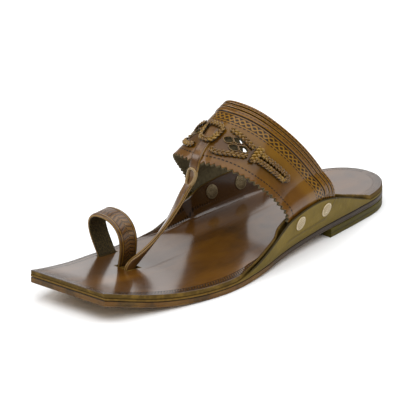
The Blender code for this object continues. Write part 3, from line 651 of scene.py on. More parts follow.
def plaitMesh(route, width, rise, floor, pitch, closed=False):
    # three strands weave over and under each other; points are out, back and up on the band
    step, strands = 0.00045, 3
    if closed:
        pts = np.asarray(route + [route[0]], float)
        path = []
        for a, b in zip(pts, pts[1:]):
            count = max(round(float(np.linalg.norm(b - a)) / step), 2)
            path += [a + (b - a) * t for t in np.arange(count) / count]
        path = np.array(path)
        for _ in range(5):
            path = (np.roll(path, 3, 0) + path + np.roll(path, -3, 0)) / 3
        path = np.concatenate([path, path[:1]])
    else:
        path = smoothPath(route, step)
    run = runOf(path)
    tangent = unit(np.gradient(path, axis=0))
    if closed:
        tangent[0] = tangent[-1] = unit(path[1] - path[-2])
    side = np.stack([-tangent[:, 1], tangent[:, 0]], -1)
    turns = max(round(run[-1] / pitch), 1) if closed else run[-1] / pitch
    verts, faces, marks = [], [], []
    ring = 10
    thick = rise * 0.30
    wide = width * 0.205
    for k in range(strands):
        phase = 2 * math.pi * (turns * run / run[-1] + k / strands)
        offset = np.sin(phase) * (width / 2 - wide)
        lift = np.sin(2 * phase) * rise * 0.24
        centre = path + side * offset[:, None]
        ahead = unit(np.gradient(centre, axis=0))
        across = np.stack([-ahead[:, 1], ahead[:, 0]], -1)
        base = len(verts)
        for j in range(len(path)):
            taper = 1.0 if closed else min(1.0, 0.35 + 0.65 * min(run[j], run[-1] - run[j]) / 0.0012)
            for n in range(ring):
                a = 2 * math.pi * n / ring
                u = centre[j] + across[j] * math.cos(a) * wide * taper
                z = floor + rise * 0.50 + lift[j] + math.sin(a) * thick * taper
                verts.append((u[0], u[1], z))
                # the third number is the strand's height, which sets the painted shade in the hollows
                marks.append((run[j], a, lift[j] / (rise * 0.24) * 0.55 + math.sin(a) * 0.55))
        count = len(path)
        for j in range(count - 1):
            for n in range(ring):
                m = (n + 1) % ring
                faces.append((base + j * ring + n, base + j * ring + m, base + (j + 1) * ring + m,
                              base + (j + 1) * ring + n))
        faces.append(tuple(base + n for n in range(ring))[::-1])
        faces.append(tuple(base + (count - 1) * ring + n for n in range(ring)))
    return np.array(verts), faces, np.array(marks)


def plaitPiece(name, runs, finish):
    verts, faces, marks = [], [], []
    base = 0
    for flat, rows, mark in runs:
        verts.append(onBand(flat[:, 0], flat[:, 1], flat[:, 2]))
        faces += [tuple(base + i for i in row) for row in rows]
        marks.append(mark)
        base += len(flat)
    mesh = bpy.data.meshes.new(name)
    mesh.from_pydata(np.concatenate(verts).tolist(), [], faces)
    setMarks(mesh, dict(thong=np.concatenate(marks)))
    return piece(name, mesh, finish, 60)


plait = dict(width=0.0048, rise=0.0024, pitch=0.0088, knotOut=0.0350, pairMiddle=0.0192, apart=0.0027,
             end=0.0655)


def sidePlaits(name, side, nodes):
    # two arms round the lattice, the wrapped knot, and one plait that runs out and turns back beside itself
    ground = band["thickness"] / 2 - 0.0001
    k, m, d, e = plait["knotOut"], plait["pairMiddle"], plait["apart"], plait["end"]
    turn = [(e - d + d * math.sin(a), m + d * math.cos(a)) for a in np.linspace(0.0, math.pi, 7)]
    routes = [
        dict(points=[(0.0118, 0.0288), (0.0230, 0.0258), (k - 0.0030, m + 0.0036)], width=0.88, rise=0.90),
        dict(points=[(0.0070, 0.0112), (0.0132, 0.0098), (0.0218, 0.0115), (k - 0.0030, m - 0.0042)],
             width=0.88, rise=0.90),
        dict(points=[(k + 0.0028, m + d)] + turn + [(k + 0.0028, m - d)], width=0.98, rise=1.0),
        dict(points=[(k + 0.0002, m + 0.0070), (k + 0.0008, m), (k + 0.0016, m - 0.0072)],
             width=1.12, rise=1.45),
    ]
    runs = []
    for row in routes:
        points = [(side * u, w) for u, w in row["points"]]
        width, rise = plait["width"] * row["width"], plait["rise"] * row["rise"]
        runs.append(plaitMesh(points, width, rise, ground, plait["pitch"]))
    obj = plaitPiece(name, runs, plaitLook)
    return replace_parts(obj, *nodes)


plaitParts = ("upper_arm", "lower_arm", "knot", "upper_cord", "lower_cord")
for sideName, sideSign in (("lateral", 1), ("medial", -1)):
    sidePlaits(sideName + "Plaits", sideSign, [f"braid_{sideName}_{part}" for part in plaitParts])


def centrePlait():
    # the plaited frame at the crown, over the centre strap
    corners = [(0.0049, 0.0154), (0.0081, 0.0278), (-0.0067, 0.0283), (-0.0053, 0.0159)]
    size = dict(width=0.0038, rise=0.0020, pitch=0.0072, lift=0.0006, humpHalf=0.0070, hump=0.0013)
    flat, rows, mark = plaitMesh(corners, size["width"], size["rise"], 0.0, size["pitch"], closed=True)
    over = np.clip(1 - np.abs(flat[:, 0]) / size["humpHalf"], 0, 1)
    flat[:, 2] += band["thickness"] / 2 + size["lift"] + ease(over * 1.8) * size["hump"]
    obj = plaitPiece("centrePlait", [(flat, rows, mark)], plaitLook)
    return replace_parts(obj, "braid_centre")


centrePlait()


def latticeRims():
    # a thin twisted rim round each diamond hole
    a, b = [lattice["size"] * lattice[key] + lattice["rim"] for key in ("longHalf", "shortHalf")]
    count, ring = 56, 6
    runs = []
    for side, u, w in latticeHoles():
        verts, faces, marks = [], [], []
        for j in range(count):
            angle = 2 * math.pi * j / count
            c, s = math.cos(angle), math.sin(angle)
            p = u + a * math.copysign(abs(c) ** 1.3, c)
            q = w + b * math.copysign(abs(s) ** 1.3, s)
            out = np.array([c / a, s / b])
            out /= np.linalg.norm(out)
            for n in range(ring):
                t = 2 * math.pi * n / ring
                size = lattice["cord"] * (1 + 0.22 * math.sin(14 * angle + t))
                verts.append((side * (p + out[0] * math.cos(t) * size), q + out[1] * math.cos(t) * size,
                              band["thickness"] / 2 + 0.00015 + math.sin(t) * size))
                # the third number is the cord's height, which sets the painted shade in the hollows
                marks.append((0.0, t, math.sin(t) * 0.6 + 0.3 * math.sin(14 * angle + t)))
            for n in range(ring):
                m, nxt = (n + 1) % ring, (j + 1) % count
                faces.append((j * ring + n, j * ring + m, nxt * ring + m, nxt * ring + n))
        runs.append((np.array(verts), faces, np.array(marks)))
    return plaitPiece("latticeRims", runs, plaitLook)


latticeRims()
print("plaits built")


strap = dict(width=0.0078, thickness=0.0026, start=0.0315, drift=0.0016, onBand=0.0012, footX=-0.0080,
             footStation=0.2270)
strapRoute = [
    dict(forward=0.05, drop=0.16, twist=0.06),
    dict(forward=0.17, drop=0.32, twist=0.22),
    dict(forward=0.29, drop=0.48, twist=0.36),
    dict(forward=0.43, drop=0.63, twist=0.46),
    dict(forward=0.64, drop=0.79, twist=0.54),
    dict(forward=0.84, drop=0.900, twist=0.68),
    dict(forward=0.955, drop=0.955, twist=0.90),
]


def strapPath():
    # smooth route of the strap with its frame: places, width and thickness directions, and run
    lie = band["thickness"] / 2 + strap["onBand"] - strap["thickness"] / 2
    places = [onBand(0.0, strap["start"] * share, lie) for share in (1.0, 0.825, 0.635, 0.445, 0.254)]
    places.append(onBand(strap["drift"] * 0.75, strap["start"] * 0.063, lie))
    twists = [0.0] * len(places)
    start = onBand(strap["drift"], 0.0, 0.0)
    foot = world(strap["footX"], strap["footStation"],
                 midsoleTop(strap["footStation"] + strap["width"] / 2) + sole["gap"])
    rest = foot + np.array([0, 0, sole["insole"]])
    for row in strapRoute:
        shares = np.array([row["drop"], row["forward"], row["drop"]])
        places.append(mixed(start, rest, shares))
        twists.append(row["twist"])
    places += [rest, foot]
    twists += [1.0, 1.0]
    places = np.array([np.asarray(p, float).reshape(3) for p in places])
    path = smoothPath(places, 0.0006)
    run = runOf(path)
    marks = runOf(places)
    turn = np.interp(run / run[-1] * marks[-1], marks, twists) * math.pi / 2
    for _ in range(40):
        turn[1:-1] = (turn[:-2] + turn[1:-1] + turn[2:]) / 3
    ahead = unit(np.gradient(path, axis=0))
    ahead[-1] = (0, 0, -1)
    flat = unit(np.array([1.0, 0, 0]) - ahead * ahead[:, :1])
    back = np.cross(ahead, flat)
    wide = flat * np.cos(turn)[:, None] + back * np.sin(turn)[:, None]
    thick = np.cross(ahead, wide)
    edgeRun = run[-1] / marks[-1] * marks[6]
    return dict(path=path, run=run, wide=wide, thick=thick, edge=edgeRun)


strapLine = strapPath()


def strapAt(run, across, through):
    # world points by run along the strap, metres across its width and through its thickness
    p, w, t = [np.stack([np.interp(run, strapLine["run"], strapLine[key][:, k]) for k in range(3)], -1)
               for key in ("path", "wide", "thick")]
    return p + w * np.asarray(across)[..., None] + t * np.asarray(through)[..., None]


def strapFinish():
    finish = Finish("strap leather", Specular_IOR_Level=0.25, Coat_Weight=0.4, Coat_Roughness=0.2)
    across, face = finish.marks("strapPlace")[1:]
    tone = finish.noise(90.0, 4.0, 0.6)
    streak = finish.noise(300.0, 4.0, 0.6, (1.0, 0.2, 0.2))
    color = finish.tint(strapTones["base"]).color(strapTones["pale"], tone.step(0.42, 0.7) * 0.7)
    color = color.color(strapTones["dark"], streak.step(0.55, 0.75) * 0.55)
    rimLine = across.math("ABSOLUTE").near(0.80, 0.05, 0.5)
    color = color.color(tanTones["line"], rimLine * 0.6)
    edge = finish.tint(strapTones["edge"]).color(strapTones["worn"], streak.step(0.45, 0.7) * 0.6)
    groove = (0.0 - face).step(0.15, 0.6)
    color = edge.color(color, face.most(0.0)).color(tanTones["line"], groove)
    # the whole eye is mixed towards the pale eye tone, a painted highlight round the slit
    color = color.color(strapTones["eye"], across.step(1.5, 1.8) * 0.8)
    finish.link("Base Color", color)
    finish.link("Roughness", (1.0 - face) * 0.25 + 0.34)
    finish.relief(grain(finish) - rimLine * face * 0.00015)
    return finish


strapLook = strapFinish()


def ribbon(name, runs, halfWidths, halfThicks, lifts, finish, layered=True):
    # strap of two layers: a fine groove runs round its edge between them
    groove = (0.90, 0.0, -1) if layered else (1.0, 0.0, 0)
    half = [(-1.0, 0.20, 0), (-1.0, 0.72, 0), (-0.93, 0.97, 1), (-0.5, 1.0, 1), (0.0, 1.0, 1),
            (0.5, 1.0, 1), (0.93, 0.97, 1), (1.0, 0.72, 0), (1.0, 0.20, 0), groove]
    profile = half + [(-a, -b, c) for a, b, c in half]
    across = np.array([r[0] for r in profile])[None, :]
    through = np.array([r[1] for r in profile])[None, :]
    flags = np.array([r[2] for r in profile], float)[None, :]
    along = np.broadcast_to(runs[:, None], (len(runs), len(profile)))
    points = strapAt(along, across * halfWidths[:, None], through * halfThicks[:, None] + lifts[:, None])
    marks = np.stack(np.broadcast_arrays(along, across, flags), -1)
    return gridMesh(name, points, finish, dict(strapPlace=marks))


def buildStrap():
    edge = strapLine["edge"]
    last = strapLine["run"][-1]
    # tab: lies on the band, bends over its front edge and ends inside the eye
    tabSize = dict(past=0.0046, bend=0.0126, halfThick=0.00085, lift=0.00045, sink=0.0010, taper=0.30)
    runs = np.linspace(0.0, edge + tabSize["past"], 90)
    past = np.clip((runs - edge - tabSize["past"]) / tabSize["bend"] + 1, 0, 1)
    wide = strap["width"] / 2 * (1 - tabSize["taper"] * ease(past * 1.4))
    thick = np.full(len(runs), tabSize["halfThick"])
    lifts = tabSize["lift"] * (1 - past) - tabSize["sink"] * past
    tab = ribbon("centreTab", runs, wide, thick, lifts, strapLook, layered=False)
    # strap: from the eye's foot to the toe, full width a little below the eye
    bodySize = dict(past=0.0048, widen=0.012, neck=0.82, halfThick=0.00128)
    start = edge + bodySize["past"]
    runs = np.concatenate([np.linspace(start, last - 0.006, 150), np.linspace(last - 0.005, last, 6)])
    wide = strap["width"] / 2 * mixed(bodySize["neck"], 1.0, ease((runs - start) / bodySize["widen"]))
    thick = np.full(len(runs), bodySize["halfThick"])
    body = ribbon("centreStrap", runs, wide, thick, np.zeros(len(runs)), strapLook)
    # eye: the strap's head is slit and goes round the tab
    eyeSize = dict(long=0.0060, side=0.0040, wall=0.00080, thick=0.0012, lift=0.0010, back=0.0004)
    section = [(-1, -0.8, 0), (-1, 0.8, 0), (-0.7, 1, 1), (0.7, 1, 1), (1, 0.8, 0), (1, 0.1, 0),
               (0.8, 0, 0), (1, -0.1, 0), (1, -0.8, 0), (0.7, -1, 1), (-0.7, -1, 1)]
    count = 72
    rows, marks = [], []
    for j in range(count):
        a = 2 * math.pi * j / count
        c, s = math.cos(a), math.sin(a)
        along = edge - eyeSize["back"] - eyeSize["long"] * math.copysign(abs(c) ** 0.8, c)
        side = eyeSize["side"] * (1 - 0.20 * (1 - c) / 2) * math.copysign(abs(s) ** 0.75, s)
        out = np.array([-c / eyeSize["long"], s / eyeSize["side"]])
        out /= np.linalg.norm(out)
        lift = eyeSize["lift"] * (1 + c) / 2
        row, mark = [], []
        for across, through, flag in section:
            u, v = along + out[0] * across * eyeSize["wall"], side + out[1] * across * eyeSize["wall"]
            row.append(strapAt(np.array(u), np.array(v), np.array(through * eyeSize["thick"] + lift)))
            # across 2.0 marks the eye for its painted highlight
            mark.append((u, 2.0, flag))
        rows.append(row)
        marks.append(mark)
    rows.append(rows[0])
    marks.append(marks[0])
    eye = gridMesh("strapEye", np.array(rows), strapLook, dict(strapPlace=np.array(marks)), caps=False)
    weld(eye)
    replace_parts(eye, "strap_keeper")


def weld(obj):
    bm = bmesh.new()
    bm.from_mesh(obj.data)
    bmesh.ops.remove_doubles(bm, verts=bm.verts, dist=0.000001)
    bmesh.ops.recalc_face_normals(bm, faces=bm.faces)
    bm.to_mesh(obj.data)
    bm.free()


buildStrap()
print("strap built")


loop = dict(width=0.0148, span=0.0210, rise=0.0338, bulge=0.0070, lean=0.0055, wall=0.0022, x=-0.0264,
            station=0.221, turn=0.0013, squareness=0.75, power=0.97, tilt=0.08)


def loopMiddle(turn):
    a = math.pi * np.asarray(turn, float)
    c, s = np.cos(a), np.maximum(np.sin(a), 0.0)
    x = loop["x"] + loop["span"] / 2 * np.sign(c) * np.abs(c) ** loop["squareness"]
    x = x + loop["bulge"] * np.sin(2 * a)
    station = loop["station"] + loop["lean"] * s + loop["turn"] * c
    z = footbed(loop["station"]) + loop["rise"] * s ** loop["power"]
    return np.stack([x, sole["heelCentre"] - station, z], -1)


def loopFinish():
    finish = Finish("toe loop leather", Specular_IOR_Level=0.25, Coat_Weight=0.45, Coat_Roughness=0.22)
    along, across, face = finish.marks("loopPlace")
    tone = finish.noise(80.0, 4.0, 0.6)
    color = finish.tint(loopTones["base"]).color(loopTones["pale"], tone.step(0.40, 0.72) * 0.65)
    # tooled braid between two border lines
    aside = across.math("ABSOLUTE")
    borders = aside.near(0.66, 0.05, 0.5).most(aside.near(0.86, 0.035, 0.5))
    a = along / 0.0030
    right = (a + across).math("FRACT").near(0.5, 0.17, 0.5) * across.near(0.30, 0.27, 0.2)
    left = (a - across).math("FRACT").near(0.5, 0.17, 0.5) * across.near(-0.30, 0.27, 0.2)
    spine = across.near(0.0, 0.05, 0.6) * along.every(0.0026).near(0.5, 0.30, 0.4)
    cuts = borders.most(right).most(left).most(spine)
    color = color.color(tanTones["pale"], aside.near(0.76, 0.07, 0.6) * 0.7)
    color = color.color(tanTones["line"], cuts * 0.66)
    mesh = finish.cells(1100.0)
    inside = finish.tint(loopTones["inside"]).color(loopTones["mesh"], mesh.step(0.25, 0.6) * 0.8)
    edge = finish.tint(loopTones["edge"]).color(loopTones["worn"], tone.step(0.5, 0.7) * 0.6)
    inner = face.step(-0.6, -0.4)                     # -1 inside, 0 edge, 1 outside
    outer = face.step(0.3, 0.6)
    color = inside.color(edge, inner).color(color, outer)
    finish.link("Base Color", color)
    finish.link("Roughness", 0.62 - outer * 0.30)
    finish.link("Coat Weight", outer * 0.45)
    finish.relief(grain(finish) - cuts * outer * 0.00032 + mesh * (1.0 - inner) * 0.0002)
    return finish


def buildToeLoop():
    turns = np.linspace(0.0, 1.0, 141)
    middle = loopMiddle(turns)
    floor = float(midsoleTop(loop["station"] + loop["width"] / 2 + loop["turn"]) + sole["gap"])
    path = np.concatenate([[[*middle[0][:2], floor]], middle, [[*middle[-1][:2], floor]]])
    ahead = unit(np.gradient(path, axis=0))
    ahead[0], ahead[-1] = (0, 0, 1), (0, 0, -1)
    arch = np.sin(math.pi * np.clip((np.arange(len(path)) - 1) / 140, 0, 1))
    wide = unit(np.stack([np.zeros(len(path)), -np.ones(len(path)), -loop["tilt"] * arch], -1))
    out = unit(np.cross(ahead, wide))
    profile = [(-0.985, -0.8, -1), (-1.0, -0.3, 0), (-1.0, 0.25, 0), (-0.965, 0.62, 1)]
    profile += [(a, 0.80 + 0.20 * math.cos(a * 1.5) + (0.14 if 0.68 < abs(a) < 0.84 else 0.0), 1)
                for a in np.linspace(-0.90, 0.90, 41)]
    profile += [(0.965, 0.62, 1), (1.0, 0.25, 0), (1.0, -0.3, 0), (0.985, -0.8, -1)]
    profile += [(a, -1.0, -1) for a in np.linspace(0.90, -0.90, 13)]
    u = np.array([p[0] for p in profile])
    v = np.array([p[1] for p in profile])
    flag = np.array([p[2] for p in profile], float)
    points = (path[:, None] + wide[:, None] * (u * loop["width"] / 2)[None, :, None]
              + out[:, None] * (v * loop["wall"] / 2)[None, :, None])
    marks = np.stack(np.broadcast_arrays(runOf(path)[:, None], u[None, :], flag[None, :]), -1)
    obj = gridMesh("toeLoop", points, loopFinish(), dict(loopPlace=marks), 60)
    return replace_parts(obj, "toe_loop")


buildToeLoop()
print("toe loop built")


rivet = dict(head=0.0100, dome=0.0011, height=0.0245, lateral=(0.120, 0.0905), medial=(0.1225, 0.0965))
earsThickness = ears["outer"] + ears["inner"] + band["thickness"] + 2 * sole["gap"]


def rivetFinish(name, base, worn, roughness):
    finish = Finish(name, Metallic=1.0)
    radius, angle = finish.marks("dial")[:2]
    tone = finish.noise(260.0, 4.0, 0.6)
    dots = None
    for ring, number in ((0.0036, 22), (0.0024, 14), (0.0011, 6)):
        turn = (angle * (number / (2 * math.pi))).math("FRACT")
        spot = radius.near(ring, 0.00042, 0.5) * turn.near(0.5, 0.27, 0.5)
        dots = spot if dots is None else dots.most(spot)
    color = finish.tint(base).color(worn, tone.step(0.42, 0.70) * 0.7)
    color = color.color((worn[0] * 0.35, worn[1] * 0.30, worn[2] * 0.22), dots * 0.85)
    finish.link("Base Color", color)
    finish.link("Roughness", tone * 0.25 + roughness)
    finish.link("Metallic", 0.85 - tone * 0.5)
    finish.relief(tone * 0.00008 - dots * 0.00016)
    return finish


def rivetAxis(side, station):
    name = "outer" if side > 0 else "inner"

    def face(s, z):
        return world(side * (halfWidth(s, name) + flare(s, z)), s, z)
    height = rivet["height"]
    p = face(station, height)
    along = face(station + 0.003, height) - face(station - 0.003, height)
    up = face(station, height + 0.003) - face(station, height - 0.003)
    normal = unit(np.cross(along, up))
    return p, normal if normal[0] * side > 0 else -normal


def buildRivet(number, side, station, finish):
    p, axis = rivetAxis(side, station)
    flat = unit(np.cross(axis, [0, 0, 1.0]))
    other = np.cross(axis, flat)
    head = rivet["head"] / 2
    seat, back = sole["gap"] * 0.6, -earsThickness - sole["gap"] * 0.9
    dome, rim, pin, tip = rivet["dome"], 0.00006, 0.0015, 0.0002
    # radius and place along the axis: outer head, shaft, inner head
    profile = [(tip, seat + dome)]
    profile += [(head * r, seat + dome * (1 - r ** 3) + rim)
                for r in (0.15, 0.3, 0.45, 0.6, 0.72, 0.83, 0.91)]
    profile += [(head * 0.97, seat + 0.00045), (head, seat + 0.0002), (head * 0.99, seat)]
    profile += [(pin, seat), (pin, back)]
    profile += [(head * 0.99, back), (head, back - 0.0002), (head * 0.96, back - 0.00045)]
    profile += [(head * r, back - dome * (1 - r ** 3) - rim) for r in (0.88, 0.75, 0.6, 0.45, 0.3, 0.15)]
    profile += [(tip, back - dome)]
    count = 48
    angles = np.linspace(0, 2 * math.pi, count, endpoint=False)
    circle = flat * np.cos(angles)[:, None] + other * np.sin(angles)[:, None]
    rows, marks = [], []
    for radius, along in profile:
        rows.append(p + axis * along + circle * radius)
        marks.append(np.stack([np.full(count, radius), angles, np.full(count, along)], -1))
    obj = gridMesh(f"rivet{number}", np.array(rows), finish, dict(dial=np.array(marks)))
    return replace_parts(obj, f"rivet_{number}")


# the medial rivets are given a darker brass than the lateral ones
brass = dict(
    lateral=rivetFinish("pale brass", (0.46, 0.37, 0.23), (0.66, 0.56, 0.38), 0.30),
    medial=rivetFinish("darker brass", (0.22, 0.165, 0.085), (0.36, 0.28, 0.16), 0.32))
rivetPlaces = [(sign, key, station) for sign, key in ((1, "lateral"), (-1, "medial"))
               for station in rivet[key]]
for number, (sign, key, station) in enumerate(rivetPlaces, 1):
    buildRivet(number, sign, station, brass[key])
print("rivets built")


def outlineRun():
    # the sole's outline seen from above, with the distance run along it
    s = soleStations(0.0, sole["length"], 0.0008)
    outer = world(halfWidth(s, "outer"), s, 0)[:, :2]
    inner = world(-halfWidth(s, "inner"), s, 0)[:, :2]
    toe = np.linspace(outer[-1], inner[-1], 80)[1:-1]
    path = np.concatenate([outer, toe, inner[::-1]])
    return path, runOf(path)


rimPath, rimRun = outlineRun()


def rimPlace(points):
    # distance in from the outline and run along it, for each point
    flat = points.reshape(-1, 3)[:, :2]
    away, along = [], []
    for part in np.array_split(flat, max(len(flat) // 2000, 1)):
        d = np.linalg.norm(part[:, None] - rimPath[None], axis=2)
        k = d.argmin(1)
        away.append(d[np.arange(len(part)), k])
        along.append(rimRun[k])
    return np.concatenate(away).reshape(points.shape[:-1]), np.concatenate(along).reshape(points.shape[:-1])


def earInset(s):
    grow = wallGrowth(s)
    return mixed(sole["gap"], ears["outer"], grow), ears["fillet"] * grow


def pocket(station):
    front = ease((band["frontFoot"] + band["shift"] + 0.010 - station) / 0.008)
    rear = ease((station - band["rearFoot"] + 0.012) / 0.010)
    return (band["thickness"] + sole["gap"]) * np.minimum(front, rear)


def midsoleSide(s, side):
    edge, low, top, tip = halfWidth(s, side), midsoleBottom(s), midsoleTop(s), earTop(s)
    lean = flare(s, tip)
    wall, fillet = earInset(s)
    foot = edge - wall
    soft = np.minimum(0.0004, (tip - low) * 0.2)
    corner = np.minimum(wall * 0.3, 0.0004)
    points = [(edge - corner * 0.5, low, 0), (edge, low + soft * 0.6, 0)]
    points += [(edge + lean * t, low + (tip - low) * t, 0) for t in (0.15, 0.35, 0.55, 0.75, 0.90)]
    points += [(edge + lean, tip - soft, 1), (edge + lean - corner, tip, 1)]
    points += [(edge + lean - wall + corner, tip, 1), (edge + lean - wall, tip - soft, 1)]
    points += [(foot - sole["gap"] * 0.4, top + fillet, 2), (foot - sole["gap"] - fillet, top, 2)]
    return points


def insoleSide(s, side):
    edge, low = halfWidth(s, side), midsoleTop(s) + sole["gap"]
    wall, fillet = earInset(s)
    grow, share = wallGrowth(s), earShare(s)
    top = low + sole["insole"]
    tip = top + ears["rise"] * ears["innerShare"] * share
    base = edge - sole["gap"] - np.where(share > 0, wall + fillet, 0.0)
    room = sole["gap"] + pocket(s) * grow
    step = np.minimum(base, edge - wall + flare(s, low + sole["insole"] / 2) - room)
    lean = mixed(base, edge - wall + flare(s, tip) - room, grow)
    inner = mixed(sole["gap"], ears["inner"], grow)
    soft = np.minimum(0.0005, (tip - low) * 0.15)
    corner = np.minimum(inner * 0.4, 0.0005)
    bottom = low + sole["insole"] * 0.35
    points = [(base, low, 0), (step, bottom, 0)]
    points += [(mixed(step, lean, t), mixed(bottom, tip - soft, t), 0) for t in (0.3, 0.65, 1.0)]
    points += [(lean - corner, tip, 0.5)]
    ground = step - inner - sole["gap"] - fillet
    points += [(lean - inner, tip - soft * 0.6, 1)]
    reach = lean - inner
    for t in (0.85, 0.6, 0.35, 0.18, 0.08):
        height = top + (tip - soft * 0.6 - top) * t
        bend = fillet * 1.6 * (1 - t) ** 6
        points.append((mixed(ground + fillet, reach, t) - bend * 0.4, height + (fillet * 0.2) * grow, 1))
    points += [(ground - fillet * 0.7, top + fillet * 0.10, 1), (ground - fillet * 2.0 - 0.0004, top, 1)]
    return points


def winged(name, sideOf, stations, finish, between):
    # one layer of the sole: both its sides, and columns between their inmost points
    rows = []
    for side, sign in (("outer", 1), ("inner", -1)):
        rows.append([np.stack([np.broadcast_to(v, stations.shape) for v in (sign * x, z, flag)], -1)
                     for x, z, flag in sideOf(stations, side)])
    columns = rows[0]
    a, b = rows[0][-1], rows[1][-1]
    for k in range(1, between + 1):
        t = (1 - math.cos(math.pi * k / (between + 1))) / 2
        columns = columns + [a + (b - a) * t]
    columns = columns + rows[1][::-1]
    section = np.stack(columns, 1)                   # rows, columns, (x, z, flag)
    points = world(section[..., 0], stations[:, None], section[..., 1])
    away, along = rimPlace(points)
    flags = section[..., 2]
    height = section[..., 1] - midsoleTop(stations)[:, None]
    place = np.broadcast_to(stations[:, None], height.shape)
    below = np.broadcast_to(earTop(stations)[:, None], height.shape) - section[..., 1]
    marks = dict(rim=np.stack([away, along, flags], -1), rise=np.stack([height, place, below], -1))
    return gridMesh(name, points, finish, marks, 45)


def footbedFinish():
    look = dict(coat=0.95, coatRoughness=0.15, roughness=0.42)
    finish = Finish("glazed footbed", Specular_IOR_Level=0.10, Coat_Roughness=look["coatRoughness"],
                    Coat_IOR=1.52)
    away, along, flag = finish.marks("rim")
    x, y, z = finish.axes()
    top = flag.step(0.6, 0.9)
    streak = finish.noise(16.0, 4.0, 0.62, (2.2, 0.55, 1.0), 0.4)
    cloud = finish.noise(34.0, 3.0, 0.6)
    color = finish.tint(footbedTones["base"]).color(footbedTones["warm"], streak.step(0.36, 0.68) * 0.85)
    color = color.color(footbedTones["dark"], cloud.step(0.52, 0.78) * 0.5)
    color = color.color(footbedTones["dark"], (1.0 - away.step(0.0, 0.0085)) * 0.45)
    # tooled borders: a hatched band on the outer side, a wave at the toe, dotted lines on the inner side
    toe = (y + 0.2345 + x * -0.11).math("MULTIPLY", -1.0).step(0.0, 0.0012)
    outer = x.step(0.0, 0.004) * (1.0 - toe)
    inner = (1.0 - x.step(-0.004, 0.0)) * (1.0 - toe)
    fore = (y * -1.0).step(0.100, 0.125)
    hatch = (along / 0.0021 + away * 330.0).math("FRACT").near(0.5, 0.20, 0.5)
    hatch = hatch * away.near(0.0043, 0.0019, 0.15)
    rails = away.near(0.0020, 0.00028, 0.6).most(away.near(0.0066, 0.00028, 0.6))
    swing = (along.every(0.0034) * (2 * math.pi)).math("SINE") * 0.0006
    wave = (away - 0.0034 - swing).near(0.0, 0.00032, 0.6)
    dots = away.near(0.0022, 0.0004, 0.5).most(away.near(0.0048, 0.0004, 0.5))
    dots = along.every(0.0021).near(0.5, 0.28, 0.5) * dots
    cuts = (hatch.most(rails) * outer * (0.35 + fore * 0.65)).most(wave * toe).most(dots * inner)
    cuts = cuts * (1.0 - z.step(0.0185, 0.0205))
    color = color.color(footbedTones["line"], cuts * 0.85)
    scratch = finish.noise(220.0, 2.0, 0.5, (1.0, 0.035, 1.0)).step(0.66, 0.74)
    edgeTone = finish.noise(150.0, 4.0, 0.6)
    side = finish.tint(footbedTones["side"])
    side = side.color(footbedTones["sidePale"], edgeTone.step(0.45, 0.70) * 0.75)
    finish.link("Base Color", side.color(color, top))
    finish.link("Roughness", look["roughness"] + scratch * 0.12 + (1.0 - top) * 0.25)
    finish.link("Coat Weight", top * (look["coat"] - cuts * 0.7 - scratch * 0.3))
    swell = finish.noise(22.0, 2.0, 0.5)
    finish.relief(grain(finish, 0.000012) + swell * 0.00045 - cuts * 0.00045 - scratch * 0.00003)
    return finish


def fleshFinish():
    # khaki flesh side of the outer ears, painted shade along their top rim, and a slight ridge with a painted
    # shade line along it where the band's end lies behind
    finish = Finish("ear leather", Specular_IOR_Level=0.08, Coat_Weight=0.04, Coat_Roughness=0.35)
    flag = finish.marks("rim")[2]
    height, station, below = finish.marks("rise")
    fibre = finish.noise(330.0, 5.0, 0.65, (1.0, 1.0, 0.35))
    cloud = finish.noise(45.0, 4.0, 0.6)
    color = finish.tint(earTones["base"]).color(earTones["olive"], cloud.step(0.40, 0.70) * 0.75)
    color = color.color(earTones["pale"], fibre.step(0.50, 0.75) * 0.45)
    color = color.color(earTones["olive"], (1.0 - height.step(-0.001, 0.007)) * 0.55)
    # painted shade along the top rim, where the inner layer's edge meets it
    rim = 1.0 - below.step(0.0002, 0.0011)
    ear = height.step(0.0015, 0.004)
    # the band's end behind the ear: a slight ridge in the relief, with a painted shade line along it
    hem = station - band["rearFoot"] + 0.003
    curve = (hem / 0.0135).least(1.0).most(0.0)
    traceAndShade = (height - (1.0 - curve) * 0.018 - 0.0050).near(0.0, 0.0009, 0.8)
    traceAndShade = traceAndShade * (station - 0.1015).near(0.0, 0.032, 0.2)
    traceAndShade = traceAndShade.most((hem - 0.0006).near(0.0, 0.0009, 0.8) * height.step(0.013, 0.018)) * ear
    fore = station.step(0.165, 0.200)
    cut = finish.tint(earTones["cut"]).color(earTones["cutDark"], fibre.step(0.45, 0.65) * 0.7)
    color = color.color(cut, fore)
    color = color.color(earTones["dark"], (rim * ear * 0.85).most(traceAndShade * 0.38))
    color = color.color(earTones["dark"], flag.step(0.6, 0.9) * 0.6)
    seam = 1.0 - (height + 0.0016).step(0.0, 0.0005)
    color = color.color(soleTones["dark"], seam * 0.8)
    finish.link("Base Color", color)
    finish.link("Roughness", fibre * 0.25 + 0.42)
    finish.relief(fibre * 0.00010 + cloud * 0.0004 - traceAndShade * 0.0003 + grain(finish))
    return finish


